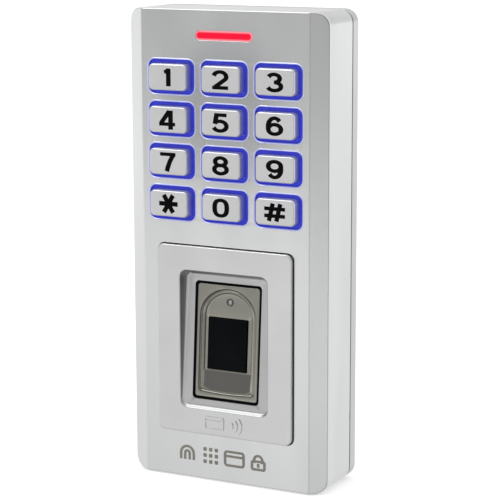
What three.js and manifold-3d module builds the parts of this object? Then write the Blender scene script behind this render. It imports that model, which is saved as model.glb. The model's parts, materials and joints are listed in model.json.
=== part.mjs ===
// Fingerprint scanner terminal: a wall-mounted door terminal with a keypad, a card antenna
// and a finger reader. Millimetres. +Z is up, the front faces -Y, and the origin is the
// centre of the back face, which lies against the wall.
import * as THREE from 'three';
import { mergeVertices } from 'three/addons/utils/BufferGeometryUtils.js';
import Module from 'manifold-3d';

const wasm = await Module();
wasm.setup();

// ---------------------------------------------------------------- driving dimensions
// Depths run back from the front plane of the housing, so a negative depth stands proud.
const outlineWidth = 62.5;
const outlineHeight = 136.0;
const overallDepth = 21.8;
const cornerRadius = 3.9;
const wall = 2.0;
const facetWidth = 5.1;
const facetDrop = 2.5;
const housingDepth = 17.7;
const plateFront = 18.0;
const plateBase = 1.8;

const keyColumns = 3;
const keyRows = 4;
const keyPitchX = 16.8;
const keyPitchZ = 12.0;
const topRowHeight = 48.9;
const keyCap = { width: 12.0, height: 7.4, radius: 1.3, proud: 2.4 };
const keyFlange = { width: 13.4, height: 8.8, radius: 1.8, front: 3.4, back: 4.2 };
const glowRing = { width: 14.4, height: 9.5, radius: 1.9, sink: 0.75 };
const keyClearance = 0.3;
const trimGap = 0.15;

const guideSheet = { front: 2.15, back: 3.15, margin: 0.7 };
const membrane = { front: 5.5, back: 6.3, domeTop: 4.3 };
const boardThickness = 1.6;
const mainBoard = { width: 47.0, top: 64.2, bottom: 2.6, front: 6.45 };
const boardBack = mainBoard.front + boardThickness;

const statusBar = { height: 60.8, length: 17.5, thickness: 2.3 };

const panel = { halfWidth: 21.4, top: 0.95, bottom: -54.2, radius: 2.4, proud: 1.3, gap: 0.4 };
const panelFlange = { rim: 1.7, front: 2.7, back: 3.8 };
const recess = { halfWidth: 14.06, top: -6.22, bottom: -46.72, radius: 2.4 };
const recessDraft = 0.25;
const recessBottomDraft = 1.0;
const panelTub = { halfWidth: 16.5, top: -4.0, bottom: -49.0, back: 6.4 };

const sensor = { depth: 1.1, height: -26.73, slope: 0.075 };
const sensorFrame = { width: 20.4, height: 33.55, radius: 1.2, lip: 1.2, back: 5.0 };
const sensorSeam = 0.45;
const floorOffset = 0.2;
const sensorWindow = { width: 12.7, height: 15.4, lift: -0.5, sink: 0.45, back: 2.0 };

const cover = { width: 57.8, height: 131.2, radius: 3.4, front: 16.0, back: 17.5 };
const coverScrewAt = { x: 26.3, z: 61.8 };
const cableHeight = 22.0;
const plateOpening = { width: 24.0, height: 22.0, radius: 2.5 };
const wallHole = { x: 22.0, z: 48.0, radius: 2.1 };
const hookAt = { x: 15.0, z: 57.2 };
const lockDepth = 14.9;

// ---------------------------------------------------------------- geometry helpers
const yAt = (depth) => depth - overallDepth;

function roundedRect(width, height, radius) {
  const shape = new THREE.Shape();
  const x = width / 2 - radius;
  const y = height / 2 - radius;
  shape.absarc(x, y, radius, 0, Math.PI / 2);
  shape.absarc(-x, y, radius, Math.PI / 2, Math.PI);
  shape.absarc(-x, -y, radius, Math.PI, Math.PI * 1.5);
  shape.absarc(x, -y, radius, Math.PI * 1.5, Math.PI * 2);
  return shape;
}

// A shape drawn in the X-Z plane, given thickness from one depth to another.
function slab(shape, front, back, x = 0, z = 0, arcSteps = 3) {
  const options = { depth: back - front, bevelEnabled: false, curveSegments: arcSteps };
  const geometry = new THREE.ExtrudeGeometry(shape, options);
  geometry.rotateX(Math.PI / 2);
  geometry.translate(x, yAt(back), z);
  return geometry;
}

function plate(width, height, radius, front, back, x = 0, z = 0, arcSteps = 3) {
  return slab(roundedRect(width, height, radius), front, back, x, z, arcSteps);
}

function block(x0, x1, front, back, z0, z1) {
  const geometry = new THREE.BoxGeometry(x1 - x0, back - front, z1 - z0);
  geometry.translate((x0 + x1) / 2, yAt((front + back) / 2), (z0 + z1) / 2);
  return geometry;
}

function post(radius, front, back, x, z, sides = 12) {
  const geometry = new THREE.CylinderGeometry(radius, radius, back - front, sides);
  geometry.translate(x, yAt((front + back) / 2), z);
  return geometry;
}

// A turned piece about a depth-wise axis; the profile lists [radius, depth] pairs.
function turned(profile, x, z, sides = 20) {
  const points = profile.map(([radius, depth]) => new THREE.Vector2(radius, yAt(depth)));
  const geometry = new THREE.LatheGeometry(points, sides);
  geometry.translate(x, 0, z);
  return geometry;
}

// A closed body through a stack of rounded rectangles that all have the same point count.
function loft(sections, arcSteps = 3) {
  const rings = sections.map((section) => {
    const ring = roundedRect(section.width, section.height, section.radius).getPoints(arcSteps);
    ring.pop();
    return ring.map((p) => [p.x + (section.x ?? 0), yAt(section.depth), p.y + (section.z ?? 0)]);
  });
  const count = rings[0].length;
  const last = rings.length - 1;
  const index = [];
  for (let r = 0; r < last; r += 1) {
    for (let i = 0; i < count; i += 1) {
      const j = (i + 1) % count;
      const a = r * count;
      const b = a + count;
      index.push(a + i, b + j, a + j);
      index.push(a + i, b + i, b + j);
    }
  }
  for (let i = 1; i < count - 1; i += 1) {
    index.push(0, i, i + 1);
    index.push(last * count, last * count + i + 1, last * count + i);
  }
  const geometry = new THREE.BufferGeometry();
  geometry.setAttribute('position', new THREE.Float32BufferAttribute(rings.flat(2), 3));
  geometry.setIndex(index);
  return geometry;
}

function toSolid(geometry) {
  const bare = geometry.clone();
  bare.deleteAttribute('normal');
  bare.deleteAttribute('uv');
  const merged = mergeVertices(bare, 1e-5);
  const vertProperties = new Float32Array(merged.attributes.position.array);
  const triVerts = new Uint32Array(merged.index.array);
  return new wasm.Manifold(new wasm.Mesh({ numProp: 3, vertProperties, triVerts }));
}

function fromSolid(solid) {
  const mesh = solid.getMesh();
  const geometry = new THREE.BufferGeometry();
  geometry.setAttribute('position', new THREE.BufferAttribute(mesh.vertProperties, 3));
  geometry.setIndex(new THREE.BufferAttribute(mesh.triVerts, 1));
  geometry.computeVertexNormals();
  return geometry;
}

const unite = (geometries) => geometries.map(toSolid).reduce((a, b) => a.add(b));

function carve(bodies, tools) {
  const body = unite(bodies);
  return fromSolid(tools.length ? body.subtract(unite(tools)) : body);
}

// ---------------------------------------------------------------- materials
const finish = (color, roughness, metalness) => ({ color, roughness, metalness });
const finishes = {
  zinc: finish(0xc3c5c8, 0.38, 0.9),
  keyMetal: finish(0xcfd0d2, 0.35, 0.85),
  silverPlastic: finish(0xc9cacb, 0.45, 0.3),
  blueGlow: finish(0x2530c8, 0.3, 0.0),
  redGlow: finish(0xe8122e, 0.3, 0.0),
  bezel: finish(0x8d8a80, 0.4, 0.8),
  blackGlass: finish(0x0c0e0e, 0.15, 0.0),
  rubber: finish(0x1b1b1c, 0.8, 0.0),
  silicone: finish(0xd9dade, 0.6, 0.0),
  board: finish(0x1e5b36, 0.5, 0.0),
  blackPlastic: finish(0x202124, 0.5, 0.0),
  whitePlastic: finish(0xe8e6df, 0.5, 0.0),
  relayPlastic: finish(0x2467b0, 0.4, 0.0),
  steel: finish(0xa9abae, 0.3, 1.0),
  ledPackage: finish(0xf1efe2, 0.4, 0.0),
};

const terminal = new THREE.Group();

function addPiece(name, geometry, finishName, parent = terminal) {
  const mesh = new THREE.Mesh(geometry, new THREE.MeshStandardMaterial(finishes[finishName]));
  mesh.name = name;
  parent.add(mesh);
  return mesh;
}

// ---------------------------------------------------------------- shared places
const keyPlaces = [];
for (let row = 0; row < keyRows; row += 1) {
  for (let column = 0; column < keyColumns; column += 1) {
    const x = (column - (keyColumns - 1) / 2) * keyPitchX;
    keyPlaces.push({ x, z: topRowHeight - row * keyPitchZ });
  }
}
const keyLabels = ['1', '2', '3', '4', '5', '6', '7', '8', '9', 'star', '0', 'hash'];

const backlightPlaces = [];
for (let row = 0; row < keyRows - 1; row += 1) {
  for (const side of [-1, 1]) {
    const z = topRowHeight - (row + 0.5) * keyPitchZ;
    backlightPlaces.push({ x: (side * keyPitchX) / 2, z });
  }
}

const boardScrewPlaces = [
  { x: -20.0, z: 61.3, boss: 2.0 },
  { x: 20.0, z: 61.3, boss: 2.0 },
  { x: -21.3, z: 4.8, boss: 1.8 },
  { x: 21.3, z: 4.8, boss: 1.8 },
];

const coverScrewPlaces = [
  { x: -coverScrewAt.x, z: coverScrewAt.z },
  { x: coverScrewAt.x, z: coverScrewAt.z },
  { x: -coverScrewAt.x, z: -coverScrewAt.z },
  { x: coverScrewAt.x, z: -coverScrewAt.z },
];

const panelHeight = panel.top - panel.bottom;
const panelCentre = (panel.top + panel.bottom) / 2;
const keypadCentre = topRowHeight - ((keyRows - 1) * keyPitchZ) / 2;
const sheetWidth = (keyColumns - 1) * keyPitchX + glowRing.width + 2 * guideSheet.margin;
const sheetHeight = (keyRows - 1) * keyPitchZ + glowRing.height + 2 * guideSheet.margin;

// ---------------------------------------------------------------- front housing
// A long prism along Z whose front is flat in the middle and falls away to both sides.
function facetPrism(inset) {
  const slope = facetDrop / facetWidth;
  const overhang = facetWidth + 1.0;
  const flat = outlineWidth / 2 - facetWidth - inset * Math.tan(Math.atan(slope) / 2);
  const far = flat + overhang;
  const shape = new THREE.Shape();
  shape.moveTo(-flat, yAt(inset));
  shape.lineTo(-far, yAt(inset + overhang * slope));
  shape.lineTo(-far, yAt(housingDepth + 3.0));
  shape.lineTo(far, yAt(housingDepth + 3.0));
  shape.lineTo(far, yAt(inset + overhang * slope));
  shape.lineTo(flat, yAt(inset));
  const length = outlineHeight + 4.0;
  const geometry = new THREE.ExtrudeGeometry(shape, { depth: length, bevelEnabled: false });
  geometry.translate(0, 0, -length / 2);
  return geometry;
}

function frontHousing() {
  const outer = toSolid(
    plate(outlineWidth, outlineHeight, cornerRadius, 0, housingDepth, 0, 0, 6),
  ).intersect(toSolid(facetPrism(0)));
  const inner = toSolid(
    plate(
      outlineWidth - 2 * wall,
      outlineHeight - 2 * wall,
      cornerRadius - wall,
      wall,
      housingDepth + 1.0,
    ),
  ).intersect(toSolid(facetPrism(wall)));
  const bosses = boardScrewPlaces.map((p) => post(p.boss, 1.2, mainBoard.front - 0.05, p.x, p.z));
  const coverBosses = coverScrewPlaces.map((p) => post(2.3, 1.8, cover.front - 0.1, p.x, p.z));
  const lockPad = block(-5.0, 5.0, lockDepth - 3.0, housingDepth, -66.5, -63.6);
  const solid = outer.subtract(inner).add(unite([...bosses, ...coverBosses, lockPad]));

  const openings = keyPlaces.map((p) => plate(
    glowRing.width + 2 * trimGap,
    glowRing.height + 2 * trimGap,
    glowRing.radius + trimGap,
    -1.0,
    wall + 1.0,
    p.x,
    p.z,
    2,
  ));
  openings.push(plate(
    statusBar.length + 2 * trimGap,
    statusBar.thickness + 2 * trimGap,
    statusBar.thickness / 2 + trimGap - 0.01,
    -1.0,
    wall + 1.0,
    0,
    statusBar.height,
  ));
  openings.push(plate(
    2 * (panel.halfWidth + panel.gap),
    panelHeight + 2 * panel.gap,
    panel.radius + panel.gap,
    -1.0,
    wall + 0.3,
    0,
    panelCentre,
  ));
  const pilots = boardScrewPlaces.map((p) => post(0.95, 3.0, mainBoard.front + 1.0, p.x, p.z, 10));
  const coverPilots = coverScrewPlaces.map((p) => post(1.15, 8.0, cover.front + 1.0, p.x, p.z, 10));
  const lockHole = new THREE.CylinderGeometry(1.7, 1.7, 8.0, 16);
  lockHole.rotateX(Math.PI / 2);
  lockHole.translate(0, yAt(lockDepth), -65.0);
  const lockSink = new THREE.CylinderGeometry(2.7, 2.7, 3.0, 20);
  lockSink.rotateX(Math.PI / 2);
  lockSink.translate(0, yAt(lockDepth), -67.7);
  const tools = [...openings, ...pilots, ...coverPilots, lockHole, lockSink];
  return fromSolid(solid.subtract(unite(tools)));
}

addPiece('front_housing', frontHousing(), 'zinc');

// ---------------------------------------------------------------- keypad
function keyGeometry(place) {
  const edge = 0.45;
  const cap = loft([
    {
      width: keyCap.width - 2 * edge,
      height: keyCap.height - 2 * edge,
      radius: keyCap.radius - edge,
      depth: -keyCap.proud,
      ...place,
    },
    {
      width: keyCap.width,
      height: keyCap.height,
      radius: keyCap.radius,
      depth: -keyCap.proud + edge,
      ...place,
    },
    {
      width: keyCap.width,
      height: keyCap.height,
      radius: keyCap.radius,
      depth: keyFlange.front + 0.2,
      ...place,
    },
  ], 2);
  const flange = plate(
    keyFlange.width,
    keyFlange.height,
    keyFlange.radius,
    keyFlange.front,
    keyFlange.back,
    place.x,
    place.z,
    2,
  );
  return carve([cap, flange], []);
}

keyPlaces.forEach((place, i) => {
  addPiece(`key_${keyLabels[i]}`, keyGeometry(place), 'keyMetal');
});

function keyLightGuide() {
  const sheet = plate(
    sheetWidth,
    sheetHeight,
    2.6,
    guideSheet.front,
    guideSheet.back,
    0,
    keypadCentre,
  );
  const rings = keyPlaces.map((p) => plate(
    glowRing.width,
    glowRing.height,
    glowRing.radius,
    glowRing.sink,
    guideSheet.front + 0.3,
    p.x,
    p.z,
    2,
  ));
  const holes = keyPlaces.map((p) => plate(
    keyCap.width + 2 * keyClearance,
    keyCap.height + 2 * keyClearance,
    keyCap.radius + keyClearance,
    -1.0,
    guideSheet.back + 1.0,
    p.x,
    p.z,
    2,
  ));
  return carve([sheet, ...rings], holes);
}

addPiece('key_light_guide', keyLightGuide(), 'blueGlow');

function keypadMembrane() {
  const sheet = plate(
    sheetWidth - 0.6,
    sheetHeight - 0.6,
    2.3,
    membrane.front,
    membrane.back,
    0,
    keypadCentre,
  );
  const domes = keyPlaces.map((p) => turned(
    [
      [0, membrane.domeTop],
      [1.9, membrane.domeTop],
      [2.9, membrane.front + 0.2],
      [0, membrane.front + 0.2],
    ],
    p.x,
    p.z,
    8,
  ));
  const windows = backlightPlaces.map((p) => plate(
    2.8,
    4.2,
    0.6,
    membrane.front - 1.0,
    membrane.back + 1.0,
    p.x,
    p.z,
    2,
  ));
  return carve([sheet, ...domes], windows);
}

addPiece('keypad_membrane', keypadMembrane(), 'silicone');

// ---------------------------------------------------------------- main board
function mainBoardGeometry() {
  const height = mainBoard.top - mainBoard.bottom;
  const centre = (mainBoard.top + mainBoard.bottom) / 2;
  const sheet = plate(mainBoard.width, height, 1.5, mainBoard.front, boardBack, 0, centre, 3);
  const holes = boardScrewPlaces.map((p) => (
    post(1.15, mainBoard.front - 1.0, boardBack + 1.0, p.x, p.z, 12)
  ));
  return carve([sheet], holes);
}

addPiece('main_board', mainBoardGeometry(), 'board');

// A pan-head screw whose head rests on a surface at seatDepth and whose shank runs forward.
function panScrew(place, seatDepth, shankLength, shankRadius, headRadius, headHeight) {
  const tip = seatDepth - shankLength;
  const head = seatDepth + 0.05;
  const profile = [
    [0, tip],
    [shankRadius * 0.6, tip],
    [shankRadius, tip + 0.6],
    [shankRadius, head],
    [headRadius, head],
    [headRadius, head + headHeight * 0.55],
    [headRadius * 0.7, head + headHeight],
    [0, head + headHeight],
  ];
  return turned(profile, place.x, place.z, 10);
}

boardScrewPlaces.forEach((place, i) => {
  addPiece(`board_screw_${i + 1}`, panScrew(place, boardBack, 4.6, 0.85, 1.7, 1.2), 'steel');
});

backlightPlaces.forEach((p, i) => {
  const front = mainBoard.front - 0.85;
  const led = block(p.x - 0.8, p.x + 0.8, front, mainBoard.front - 0.05, p.z - 1.5, p.z + 1.5);
  addPiece(`backlight_led_${i + 1}`, led, 'ledPackage');
});

for (const [side, x] of [['left', -5.0], ['right', 5.0]]) {
  const front = mainBoard.front - 0.95;
  const z = statusBar.height;
  const led = block(x - 1.5, x + 1.5, front, mainBoard.front - 0.05, z - 0.8, z + 0.8);
  addPiece(`status_led_${side}`, led, 'ledPackage');
}

function statusLightPipe() {
  const { length, thickness, height } = statusBar;
  const lens = loft([
    { width: length - 0.3, height: thickness - 0.3, radius: 0.99, depth: -0.12, z: height },
    { width: length, height: thickness, radius: 1.14, depth: 0.02, z: height },
    { width: length, height: thickness, radius: 1.14, depth: guideSheet.front + 0.2, z: height },
  ]);
  const flange = plate(20.5, 4.4, 1.0, guideSheet.front, guideSheet.back, 0, height, 3);
  const stem = plate(15.0, 1.8, 0.5, guideSheet.back - 0.2, 5.2, 0, height, 3);
  return carve([lens, flange, stem], []);
}

addPiece('status_light_pipe', statusLightPipe(), 'redGlow');

// Components soldered to the rear of the main board, each a hair clear of its surface.
const solder = boardBack + 0.05;

addPiece('relay', plate(15.2, 18.6, 0.6, solder, 15.4, -13.0, 46.0, 3), 'relayPlastic');

addPiece('buzzer', turned([
  [0, solder],
  [6.0, solder],
  [6.0, 14.2],
  [5.6, 14.6],
  [1.3, 14.6],
  [1.3, 13.8],
  [0, 13.8],
], 14.5, 48.0, 18), 'blackPlastic');

addPiece('capacitor', turned([
  [0, solder],
  [4.0, solder],
  [4.0, 9.0],
  [3.75, 9.3],
  [4.0, 9.6],
  [4.0, 14.8],
  [3.5, 15.1],
  [0, 15.1],
], 16.8, 36.5, 16), 'steel');

addPiece('microcontroller', loft([
  { width: 9.6, height: 9.6, radius: 0.4, depth: solder, x: 12.0, z: 15.5 },
  { width: 10.0, height: 10.0, radius: 0.5, depth: 8.9, x: 12.0, z: 15.5 },
  { width: 9.6, height: 9.6, radius: 0.4, depth: 9.6, x: 12.0, z: 15.5 },
], 2), 'blackPlastic');

addPiece('crystal', plate(11.2, 4.6, 2.25, solder, 11.6, 12.0, 25.2, 4), 'steel');

function wiringConnector() {
  const shell = block(-11.2, 11.2, solder, 15.0, 29.6, 35.4);
  const pocket = block(-10.4, 10.4, 10.0, 16.0, 30.4, 34.6);
  const polarSlots = [-6.0, 6.0].map((x) => block(x - 1.0, x + 1.0, 11.0, 16.0, 29.0, 31.0));
  return carve([shell], [pocket, ...polarSlots]);
}

addPiece('wiring_connector', wiringConnector(), 'whitePlastic');

const tamperAt = { x: -8.5, z: 15.0 };
addPiece('tamper_light_sensor', turned([
  [0, solder],
  [0.9, solder],
  [0.9, 13.4],
  [2.5, 13.4],
  [2.5, 15.0],
  [2.2, 15.3],
  [0, 15.3],
], tamperAt.x, tamperAt.z, 14), 'silicone');

// ---------------------------------------------------------------- reader panel
// Everything on the sensor's own face lies in a group that leans back by the floor's slope.
const sensorLean = -Math.atan(sensor.slope);

function leaned(geometry) {
  geometry.translate(0, overallDepth, 0);
  geometry.rotateX(sensorLean);
  geometry.translate(0, yAt(sensor.depth), sensor.height);
  return geometry;
}

// The finger recess: drafted walls, cut off by a floor that leans with the sensor.
function recessPocket() {
  const levels = [-1.5, 5.0];
  const walls = loft(levels.map((fall) => {
    const halfWidth = recess.halfWidth - recessDraft * fall;
    const top = recess.top - recessDraft * fall;
    const bottom = recess.bottom + recessBottomDraft * fall;
    return {
      width: 2 * halfWidth,
      height: top - bottom,
      radius: recess.radius - 0.15 * fall,
      depth: fall - panel.proud,
      z: (top + bottom) / 2,
    };
  }));
  const aboveFloor = leaned(block(-20, 20, -12.0, -floorOffset, -34, 34));
  return toSolid(walls).intersect(toSolid(aboveFloor));
}

function readerPanel() {
  const front = -panel.proud;
  const section = (inset, depth) => ({
    width: 2 * (panel.halfWidth - inset),
    height: panelHeight - 2 * inset,
    radius: panel.radius - inset * 0.5,
    depth,
    z: panelCentre,
  });
  const face = loft([
    section(0.5, front),
    section(0.15, front + 0.12),
    section(0, front + 0.5),
    section(0, panelFlange.back),
  ]);
  const flange = plate(
    2 * (panel.halfWidth + panelFlange.rim),
    panelHeight + 2 * panelFlange.rim,
    panel.radius + panelFlange.rim,
    panelFlange.front,
    panelFlange.back,
    0,
    panelCentre,
  );
  const tubHeight = panelTub.top - panelTub.bottom;
  const tubCentre = (panelTub.top + panelTub.bottom) / 2;
  const tub = plate(2 * panelTub.halfWidth, tubHeight, 2.0, 3.0, panelTub.back, 0, tubCentre, 3);
  const posts = [-1, 1].map((side) => post(2.0, 5.0, 9.5, side * 13.4, -27.0, 14));
  const body = unite([face, flange, tub, ...posts]);

  const seat = leaned(plate(
    sensorFrame.width + 2 * sensorSeam,
    sensorFrame.height + 2 * sensorSeam,
    1.1,
    -4.0,
    2.2,
    0,
    0,
    3,
  ));
  const throat = leaned(plate(18.6, 31.8, 0.8, -4.0, 12.0, 0, 0, 3));
  const pilots = [-1, 1].map((side) => post(0.95, 5.0, 12.0, side * 13.4, -27.0, 10));
  const cuts = recessPocket().add(unite([seat, throat, ...pilots]));
  return fromSolid(body.subtract(cuts));
}

addPiece('reader_panel', readerPanel(), 'silverPlastic');

function panelSeal() {
  const outer = panel.gap + 1.2;
  const ring = plate(
    2 * (panel.halfWidth + outer),
    panelHeight + 2 * outer,
    panel.radius + outer,
    wall + 0.05,
    panelFlange.front - 0.05,
    0,
    panelCentre,
  );
  const inside = plate(
    2 * (panel.halfWidth + 0.1),
    panelHeight + 0.2,
    panel.radius + 0.1,
    0.0,
    panelFlange.front + 1.0,
    0,
    panelCentre,
  );
  return carve([ring], [inside]);
}

addPiece('panel_seal', panelSeal(), 'rubber');

function cardAntenna() {
  const front = panelFlange.back + 0.3;
  const ring = plate(41.2, 53.4, 2.5, front, front + 0.9, 0, panelCentre);
  const inside = plate(34.6, 46.6, 2.0, 0.0, front + 3.0, 0, panelCentre);
  return carve([ring], [inside]);
}

addPiece('card_antenna', cardAntenna(), 'board');

// ---------------------------------------------------------------- finger sensor
// In this group the face plane of the sensor stands in for the front plane of the housing,
// so the depth helpers above serve here as well.
const sensorGroup = new THREE.Group();
sensorGroup.rotation.x = sensorLean;
sensorGroup.position.set(0, yAt(sensor.depth), sensor.height);
terminal.add(sensorGroup);

function addSensorPiece(name, geometry, finishName) {
  geometry.translate(0, overallDepth, 0);
  addPiece(name, geometry, finishName, sensorGroup);
}

// The finger guide: straight sides, a half-ellipse at the top and a shallow curve below.
function archShape(halfWidth, apex, foot, sag) {
  const shoulder = 7.3;
  const corner = 1.6;
  const shape = new THREE.Shape();
  shape.moveTo(-halfWidth, foot + corner);
  shape.quadraticCurveTo(-halfWidth, foot, -halfWidth + corner, foot);
  shape.quadraticCurveTo(0, foot - 2 * sag, halfWidth - corner, foot);
  shape.quadraticCurveTo(halfWidth, foot, halfWidth, foot + corner);
  shape.lineTo(halfWidth, shoulder);
  shape.absellipse(0, shoulder, halfWidth, apex - shoulder, 0, Math.PI);
  return shape;
}

function sensorFrameGeometry() {
  const { width, height, radius, lip, back } = sensorFrame;
  const face = plate(width, height, radius, 0, lip, 0, 0, 3);
  const body = plate(18.0, 31.2, 0.8, lip - 0.2, back, 0, 0, 3);
  const outerStep = slab(archShape(9.1, 15.55, -15.1, 0.35), -1.0, 0.3, 0, 0, 8);
  const innerStep = slab(archShape(7.55, 14.1, -14.6, 0.35), -1.0, 0.45, 0, 0, 8);
  const opening = plate(
    sensorWindow.width + 2 * trimGap,
    sensorWindow.height + 2 * trimGap,
    0.5,
    -1.0,
    back + 1.0,
    0,
    sensorWindow.lift,
    2,
  );
  return carve([face, body], [outerStep, innerStep, opening]);
}

addSensorPiece('sensor_frame', sensorFrameGeometry(), 'bezel');

addSensorPiece('sensor_window', plate(
  sensorWindow.width,
  sensorWindow.height,
  0.4,
  sensorWindow.sink,
  sensorWindow.back,
  0,
  sensorWindow.lift,
  2,
), 'blackGlass');

function sensorGasket() {
  const ring = plate(20.5, 33.65, 1.2, 1.45, 1.95, 0, 0, 3);
  const inside = plate(19.0, 32.2, 0.9, 0.0, 4.0, 0, 0, 3);
  return carve([ring], [inside]);
}

addSensorPiece('sensor_gasket', sensorGasket(), 'rubber');
addSensorPiece('sensor_board', plate(17.6, 30.4, 0.8, 5.3, 6.5, 0, 0, 2), 'board');

// ---------------------------------------------------------------- reader board
const readerBoard = { front: 9.75, top: -6.2, bottom: -50.0 };
const readerBack = readerBoard.front + boardThickness;
const readerScrewPlaces = [{ x: -13.4, z: -27.0 }, { x: 13.4, z: -27.0 }];

function readerBoardGeometry() {
  const height = readerBoard.top - readerBoard.bottom;
  const centre = (readerBoard.top + readerBoard.bottom) / 2;
  const sheet = plate(34.0, height, 1.5, readerBoard.front, readerBack, 0, centre, 3);
  const holes = readerScrewPlaces.map((p) => (
    post(1.15, readerBoard.front - 1.0, readerBack + 1.0, p.x, p.z, 12)
  ));
  return carve([sheet], holes);
}

addPiece('reader_board', readerBoardGeometry(), 'board');
addPiece('fingerprint_processor', loft([
  { width: 11.6, height: 11.6, radius: 0.4, depth: readerBack + 0.05, z: -25.0 },
  { width: 12.0, height: 12.0, radius: 0.5, depth: readerBack + 0.85, z: -25.0 },
  { width: 11.6, height: 11.6, radius: 0.4, depth: readerBack + 1.6, z: -25.0 },
], 2), 'blackPlastic');

['left', 'right'].forEach((side, i) => {
  const screw = panScrew(readerScrewPlaces[i], readerBack, 5.6, 0.8, 1.7, 1.2);
  addPiece(`reader_screw_${side}`, screw, 'steel');
});

// Flat cable between the two boards, with a socket at each end.
const cableX = -9.0;
const socketHalf = 7.0;
addPiece('main_cable_socket', block(
  cableX - socketHalf,
  cableX + socketHalf,
  solder,
  solder + 2.4,
  5.4,
  9.6,
), 'whitePlastic');
addPiece('reader_cable_socket', block(
  cableX - socketHalf,
  cableX + socketHalf,
  readerBack + 0.05,
  readerBack + 2.45,
  -12.0,
  -7.8,
), 'whitePlastic');

function flatCable() {
  const half = 0.15;
  const leave = solder + 1.3;
  const arrive = readerBack + 1.3;
  const route = new THREE.CubicBezierCurve(
    new THREE.Vector2(5.3, leave),
    new THREE.Vector2(-1.5, leave),
    new THREE.Vector2(-1.0, arrive),
    new THREE.Vector2(-7.7, arrive),
  );
  const steps = 14;
  const near = [];
  const far = [];
  for (let i = 0; i <= steps; i += 1) {
    const p = route.getPoint(i / steps);
    const t = route.getTangent(i / steps);
    near.push(new THREE.Vector2(p.x - t.y * half, p.y + t.x * half));
    far.push(new THREE.Vector2(p.x + t.y * half, p.y - t.x * half));
  }
  const outline = [...near, ...far.reverse()].map((p) => new THREE.Vector2(yAt(p.y), p.x));
  const strip = new THREE.Shape(outline);
  const geometry = new THREE.ExtrudeGeometry(strip, { depth: 10.0, bevelEnabled: false });
  // The drawn axes (depth, height) become Y and Z, and the extrusion runs along X.
  const turn = new THREE.Matrix4().set(0, 0, 1, 0, 1, 0, 0, 0, 0, 1, 0, 0, 0, 0, 0, 1);
  geometry.applyMatrix4(turn);
  geometry.translate(cableX - 5.0, 0, 0);
  return geometry;
}

addPiece('reader_cable', flatCable(), 'whitePlastic');

// ---------------------------------------------------------------- rear cover and wall plate
function rearCover() {
  const sheet = plate(cover.width, cover.height, cover.radius, cover.front, cover.back);
  const screwHoles = coverScrewPlaces.map((p) => (
    post(1.35, cover.front - 1.0, cover.back + 1.0, p.x, p.z, 14)
  ));
  const cableHole = post(5.4, cover.front - 1.0, cover.back + 1.0, 0, cableHeight, 18);
  const lightHole = post(2.4, cover.front - 1.0, cover.back + 1.0, tamperAt.x, tamperAt.z, 16);
  const hookSlots = [-1, 1].map((side) => block(
    side * hookAt.x - 3.5,
    side * hookAt.x + 3.5,
    cover.front - 1.0,
    cover.back + 1.0,
    hookAt.z - 0.4,
    hookAt.z + 3.4,
  ));
  const lockNotch = block(-6.0, 6.0, cover.front - 1.0, cover.back + 1.0, -67.0, -59.0);
  return carve([sheet], [...screwHoles, cableHole, lightHole, ...hookSlots, lockNotch]);
}

addPiece('rear_cover', rearCover(), 'blackPlastic');

coverScrewPlaces.forEach((place, i) => {
  addPiece(`cover_screw_${i + 1}`, panScrew(place, cover.back, 7.6, 1.0, 2.1, 1.4), 'steel');
});

const grommet = { bore: 3.5, neck: 5.1, lip: 6.6, front: 14.9, back: 18.6 };
addPiece('cable_grommet', turned([
  [grommet.bore, grommet.front],
  [grommet.lip - 0.6, grommet.front],
  [grommet.lip, cover.front - 0.4],
  [grommet.lip, cover.front - 0.1],
  [grommet.neck, cover.front - 0.1],
  [grommet.neck, cover.back + 0.1],
  [grommet.lip, cover.back + 0.1],
  [grommet.lip, cover.back + 0.4],
  [grommet.lip - 1.0, grommet.back],
  [grommet.bore, grommet.back],
  [grommet.bore, grommet.front],
], 0, cableHeight, 18), 'rubber');

function housingGasket() {
  const inset = (amount) => plate(
    outlineWidth - 2 * amount,
    outlineHeight - 2 * amount,
    cornerRadius - amount,
    housingDepth + 0.03,
    plateFront - 0.03,
  );
  const inner = plate(
    outlineWidth - 3.5,
    outlineHeight - 3.5,
    cornerRadius - 1.75,
    housingDepth - 1.0,
    plateFront + 1.0,
  );
  return carve([inset(0.5)], [inner]);
}

addPiece('housing_gasket', housingGasket(), 'rubber');

function wallPlate() {
  const outer = plate(
    outlineWidth,
    outlineHeight,
    cornerRadius,
    plateFront,
    overallDepth,
    0,
    0,
    6,
  );
  const floor = overallDepth - plateBase;
  const pocket = plate(
    outlineWidth - 2 * wall,
    outlineHeight - 2 * wall,
    cornerRadius - wall,
    plateFront - 1.0,
    floor,
  );
  const hooks = [-1, 1].flatMap((side) => {
    const x0 = side * hookAt.x - 3.0;
    const x1 = side * hookAt.x + 3.0;
    return [
      block(x0, x1, 14.6, floor + 0.5, hookAt.z, hookAt.z + 1.5),
      block(x0, x1, 14.6, 15.7, hookAt.z + 1.0, hookAt.z + 2.8),
    ];
  });
  const lug = block(-5.0, 5.0, lockDepth - 2.7, floor + 0.5, -63.1, -59.6);
  const lugHole = new THREE.CylinderGeometry(1.6, 1.6, 8.0, 16);
  lugHole.rotateX(Math.PI / 2);
  lugHole.translate(0, yAt(lockDepth), -61.3);
  const opening = plate(
    plateOpening.width,
    plateOpening.height,
    plateOpening.radius,
    plateFront,
    overallDepth + 1.0,
    0,
    cableHeight,
    4,
  );
  const holes = [];
  for (const x of [-wallHole.x, wallHole.x]) {
    for (const z of [-wallHole.z, wallHole.z]) {
      holes.push(post(wallHole.radius, floor - 1.0, overallDepth + 1.0, x, z, 16));
    }
  }
  const shell = toSolid(outer).subtract(toSolid(pocket));
  const body = shell.add(unite([...hooks, lug]));
  return fromSolid(body.subtract(unite([lugHole, opening, ...holes])));
}

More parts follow.
